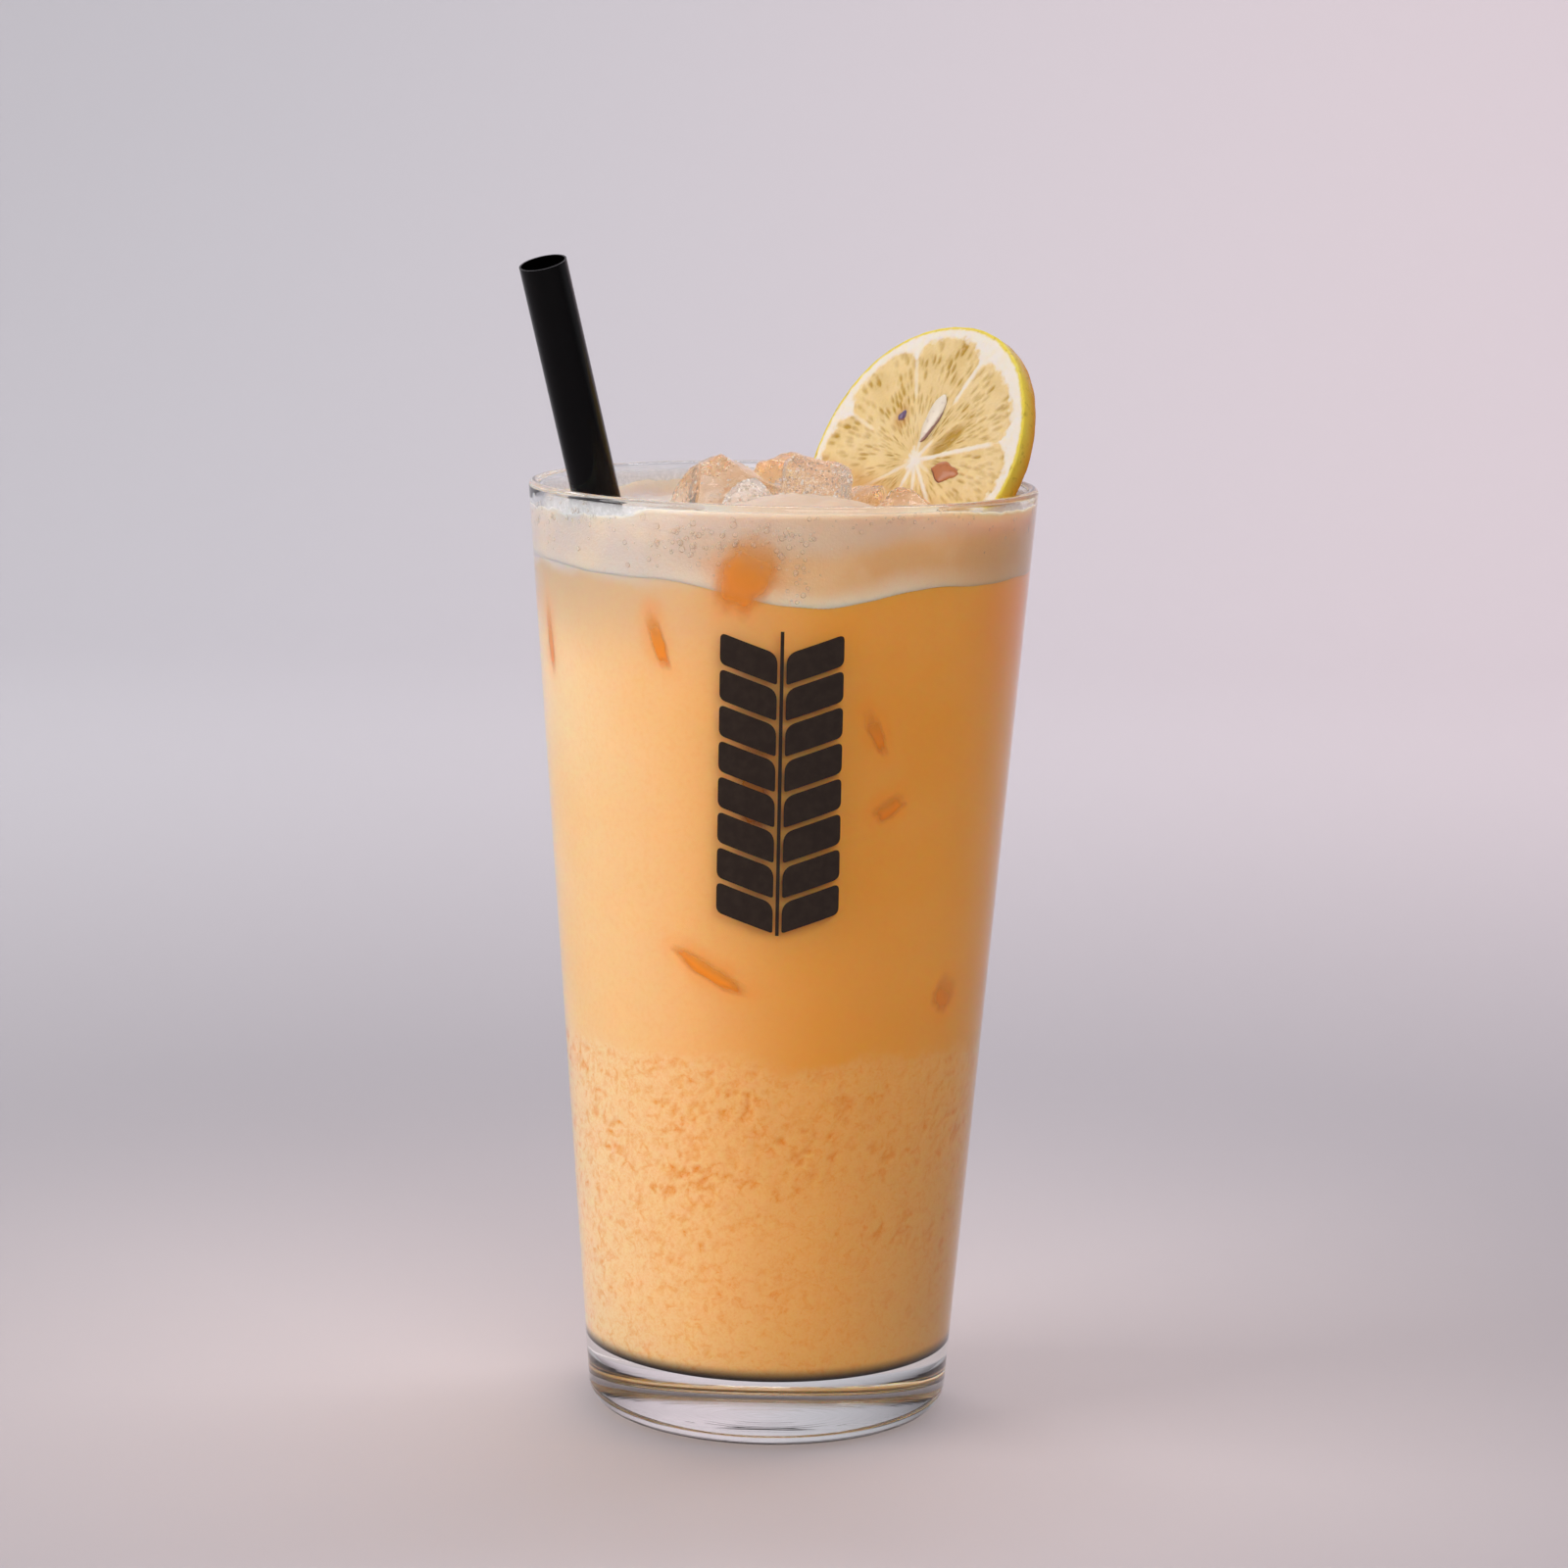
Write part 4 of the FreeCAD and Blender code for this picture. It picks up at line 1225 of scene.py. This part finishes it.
class AddLemonadePrint(AddPiece):
    """Adds a plain leaf print on the front of the glass."""
    bl_idname = "lemonade.add_print"
    bl_label = "Print"

    def leaf(self, side, low, high, half):
        """Outline of one broad leaf: it rises from the stem and ends square, with round corners."""
        inner, outer, gap = 0.75, half, 0.42
        rise = (high - low) * 0.55
        corners = [(inner, low + gap), (outer, low + gap + rise),
                   (outer, high - gap + rise), (inner, high - gap)]
        rounds = (0.5, 1.1, 1.1, 1.8)
        made = []
        for i, (corner, round_off) in enumerate(zip(corners, rounds)):
            corner = Vector(corner)
            before = (Vector(corners[i - 1]) - corner).normalized() * round_off
            after = (Vector(corners[(i + 1) % 4]) - corner).normalized() * round_off
            for k in range(7):
                t = k / 6
                p = corner + before * (1 - t) ** 2 + after * t ** 2
                made.append((side * p.x, p.y))
        return made

    def build(self, scene):
        s = scene.lemonade_print
        tumbler = Tumbler(scene.lemonade_glass)
        half = s.width / 2
        # the ink's thickness, how far it sits in the glass so that no gap shows, how far the print
        # stands to the right, half the stem's width, and the longest edge that still curves well
        thick, sunk, shift, stem, longest = 0.06, 0.02, 0.3, 0.3, 1.2
        step = (s.high - s.low) / (s.leaves + 0.55)
        outlines = []
        for side in (-1, 1):
            for i in range(s.leaves):
                low = s.low + step * i
                outlines.append(self.leaf(side, low, low + step, half))
        outlines.append([(-stem, s.low), (stem, s.low), (stem, s.high), (-stem, s.high)])
        sheet = bmesh.new()
        for outline in outlines:
            corners = [sheet.verts.new((x, z, 0)) for x, z in outline]
            face = sheet.faces.new(corners)
            bmesh.ops.triangulate(sheet, faces=[face])
        for _ in range(2):
            long_edges = [e for e in sheet.edges if e.calc_length() > longest]
            bmesh.ops.subdivide_edges(sheet, edges=long_edges, cuts=1)
            bmesh.ops.triangulate(sheet, faces=sheet.faces[:])
        ends = bmesh.ops.extrude_face_region(sheet, geom=sheet.faces[:])["geom"]
        for v in (v for v in ends if isinstance(v, bmesh.types.BMVert)):
            v.co.z = thick
        bmesh.ops.recalc_face_normals(sheet, faces=sheet.faces[:])
        points = []
        for v in sheet.verts:
            r = tumbler.outside(v.co.y) + v.co.z - sunk
            a = -math.pi / 2 + (v.co.x + shift) / tumbler.outside(v.co.y)
            points.append(spun(r, a, v.co.y))
        faces = [[v.index for v in f.verts] for f in sheet.faces]
        add_piece("leaf_print", points, faces, self.material(s), smooth=False)
        sheet.free()

    def material(self, s):
        finish = Finish("Printed ink")
        uneven = finish.grain(700.0, 3.0)
        colour = finish.blend(uneven.steps(0.3, 0.8) * 0.5, s.ink, (0.045, 0.028, 0.018))
        ink = finish.principled(base_color=colour, roughness=0.5 + uneven * 0.15,
                                specular_ior_level=0.25,
                                normal=finish.bump(uneven, 0.00003, 0.4))
        return finish.done(ink)


class AddLemonadeStage(AddPiece):
    """Adds the paper sweep, the lights and the camera."""
    bl_idname = "lemonade.add_stage"
    bl_label = "Stage"

    # name, place, size, colour and what it looks at, in metres
    LAMPS = (
        ("Key", (-1.08, -0.36, 0.60), (0.8, 0.9), (1.0, 0.98, 0.97), (0.0, 0.0, 0.1)),
        ("Fill", (0.50, -1.40, 0.85), (1.0, 1.0), (1.0, 0.97, 0.95), (0.0, 0.0, 0.1)),
        ("Wash", (0.45, 0.55, 1.7), (1.4, 0.6), (1.0, 0.98, 0.99), (0.30, 1.6, 0.58)),
        ("Glint", (-0.45, 0.75, 0.85), (0.3, 0.3), (1.0, 0.99, 0.98), (0.0, 0.0, 0.1)),
    )
    # the lens in mm, and the camera's place in metres and turn in degrees
    LENS, SENSOR = 101.25, 36.0
    EYE = (0.0, -0.7591, 0.2325)
    LOOKS_DOWN, LOOKS_RIGHT, ROLL = 9.11, 0.08, 1.11

    def build(self, scene):
        looks = scene.lemonade_stage
        self.sweep(looks)
        for name, place, size, colour, at in self.LAMPS:
            self.window(name, place, size, getattr(looks, name.lower()), colour, at)
        scene.world = self.room(looks)
        scene.view_settings.view_transform = "Standard"
        scene.cycles.max_bounces = 8
        scene.cycles.diffuse_bounces = 2
        scene.cycles.transmission_bounces = 7
        self.camera(scene)

    def room(self, looks):
        """Pale light from above and behind, and a dark room behind the camera."""
        finish = Finish("Room", "worlds")
        way = finish.place("Generated")
        back = finish.axis(way, "Y").steps(-0.75, 0.15)
        over = finish.axis(way, "Z").steps(0.25, 0.9)
        strength = back.most(over) * 0.85 + 0.15
        light = finish.node("ShaderNodeBackground",
                            values={"Color": (0.93, 0.93, 1.0, 1.0),
                                    "Strength": strength * looks.room})
        return finish.done(light, "World")

    def sweep(self, looks):
        """A floor that curves up into a backdrop, in metres."""
        front, bend, curve, top, half = -1.6, 1.0, 0.6, 2.6, 2.5
        profile = [(front, 0.0), (-0.2, 0.0), (0.5, 0.0), (bend, 0.0)]
        profile += arc((bend, curve), curve, -84, 0, 14)
        profile.append((bend + curve, top))
        points, faces = [], []
        for y, z in profile:
            points += [(-half, y, z), (half, y, z)]
        for i in range(len(profile) - 1):
            faces.append((2 * i, 2 * i + 1, 2 * i + 3, 2 * i + 2))
        mesh = bpy.data.meshes.new("sweep")
        mesh.from_pydata(points, [], faces)
        mesh.shade_smooth()
        sweep = bpy.data.objects.new("sweep", mesh)
        bpy.context.scene.collection.objects.link(sweep)
        finish = Finish("Paper")
        fibre = finish.grain(900.0, 4.0)
        place = finish.place()
        # painted light: the backdrop is painted warmer and a little lighter towards the right
        wall = finish.blend(finish.axis(place, "X").steps(-0.3, 0.4), looks.paper, looks.painted_light_warm_paper)
        # painted shade and light: the floor is painted darker than the backdrop, with a painted pool
        # of light close round the glass
        near = finish.axis(place, "Y").falls(-0.1, 0.85)
        away = finish.node("ShaderNodeVectorMath", {"operation": "LENGTH"}, {0: place}, "Value")
        floor = finish.blend(away.falls(0.03, 0.30), looks.floor, looks.pool)
        colour = finish.blend(near, wall, floor)
        colour = finish.blend(fibre * 0.03, colour, (0.3, 0.29, 0.29))
        mesh.materials.append(finish.done(finish.principled(
            base_color=colour, roughness=0.75, normal=finish.bump(fibre, 0.00004, 0.2))))

    def window(self, name, place, size, watts, colour, at):
        """A soft rectangular light that looks at a place."""
        lamp = bpy.data.lights.new(name, "AREA")
        lamp.shape = "RECTANGLE"
        lamp.size, lamp.size_y = size
        lamp.energy = watts
        lamp.color = colour
        holder = bpy.data.objects.new(name, lamp)
        holder.location = place
        holder.rotation_euler = (Vector(at) - Vector(place)).to_track_quat("-Z", "Y").to_euler()
        bpy.context.scene.collection.objects.link(holder)

    def camera(self, scene):
        lens = bpy.data.cameras.new("Camera")
        lens.lens = self.LENS
        lens.sensor_width = self.SENSOR
        lens.clip_start = 0.01
        view = bpy.data.objects.new("Camera", lens)
        turn = (Matrix.Rotation(math.radians(-self.LOOKS_RIGHT), 4, "Z")
                @ Matrix.Rotation(math.radians(90 - self.LOOKS_DOWN), 4, "X")
                @ Matrix.Rotation(math.radians(self.ROLL), 4, "Z"))
        view.matrix_world = Matrix.Translation(self.EYE) @ turn
        scene.collection.objects.link(view)
        scene.camera = view


OPERATORS = (AddLemonadeGlass, AddLemonadeDrink, AddLemonadeSunkenIce, AddLemonadeFoam,
             AddLemonadeFilm, AddLemonadeBubbles, AddLemonadeIce, AddLemonadeStraw,
             AddLemonadeSlice, AddLemonadePrint, AddLemonadeStage)


class LemonadePanel(bpy.types.Panel):
    """Lists the pieces in the 3D view's sidebar."""
    bl_idname = "VIEW3D_PT_lemonade"
    bl_label = "Glass of Lemonade"
    bl_space_type = "VIEW_3D"
    bl_region_type = "UI"
    bl_category = "Lemonade"

    def draw(self, context):
        for operator in OPERATORS:
            self.layout.operator(operator.bl_idname)
        for name, group in GROUPS.items():
            box = self.layout.box()
            box.label(text=group.__doc__)
            for prop in group.__annotations__:
                box.prop(getattr(context.scene, name), prop)


CLASSES = (*GROUPS.values(), *OPERATORS, LemonadePanel)


def register():
    for item in CLASSES:
        bpy.utils.register_class(item)
    for name, group in GROUPS.items():
        setattr(bpy.types.Scene, name, PointerProperty(type=group))


def unregister():
    for name in GROUPS:
        delattr(bpy.types.Scene, name)
    for item in reversed(CLASSES):
        bpy.utils.unregister_class(item)


def main():
    register()
    for operator in OPERATORS:
        group, name = operator.bl_idname.split(".")
        getattr(getattr(bpy.ops, group), name)()


if __name__ == "__main__":
    main()
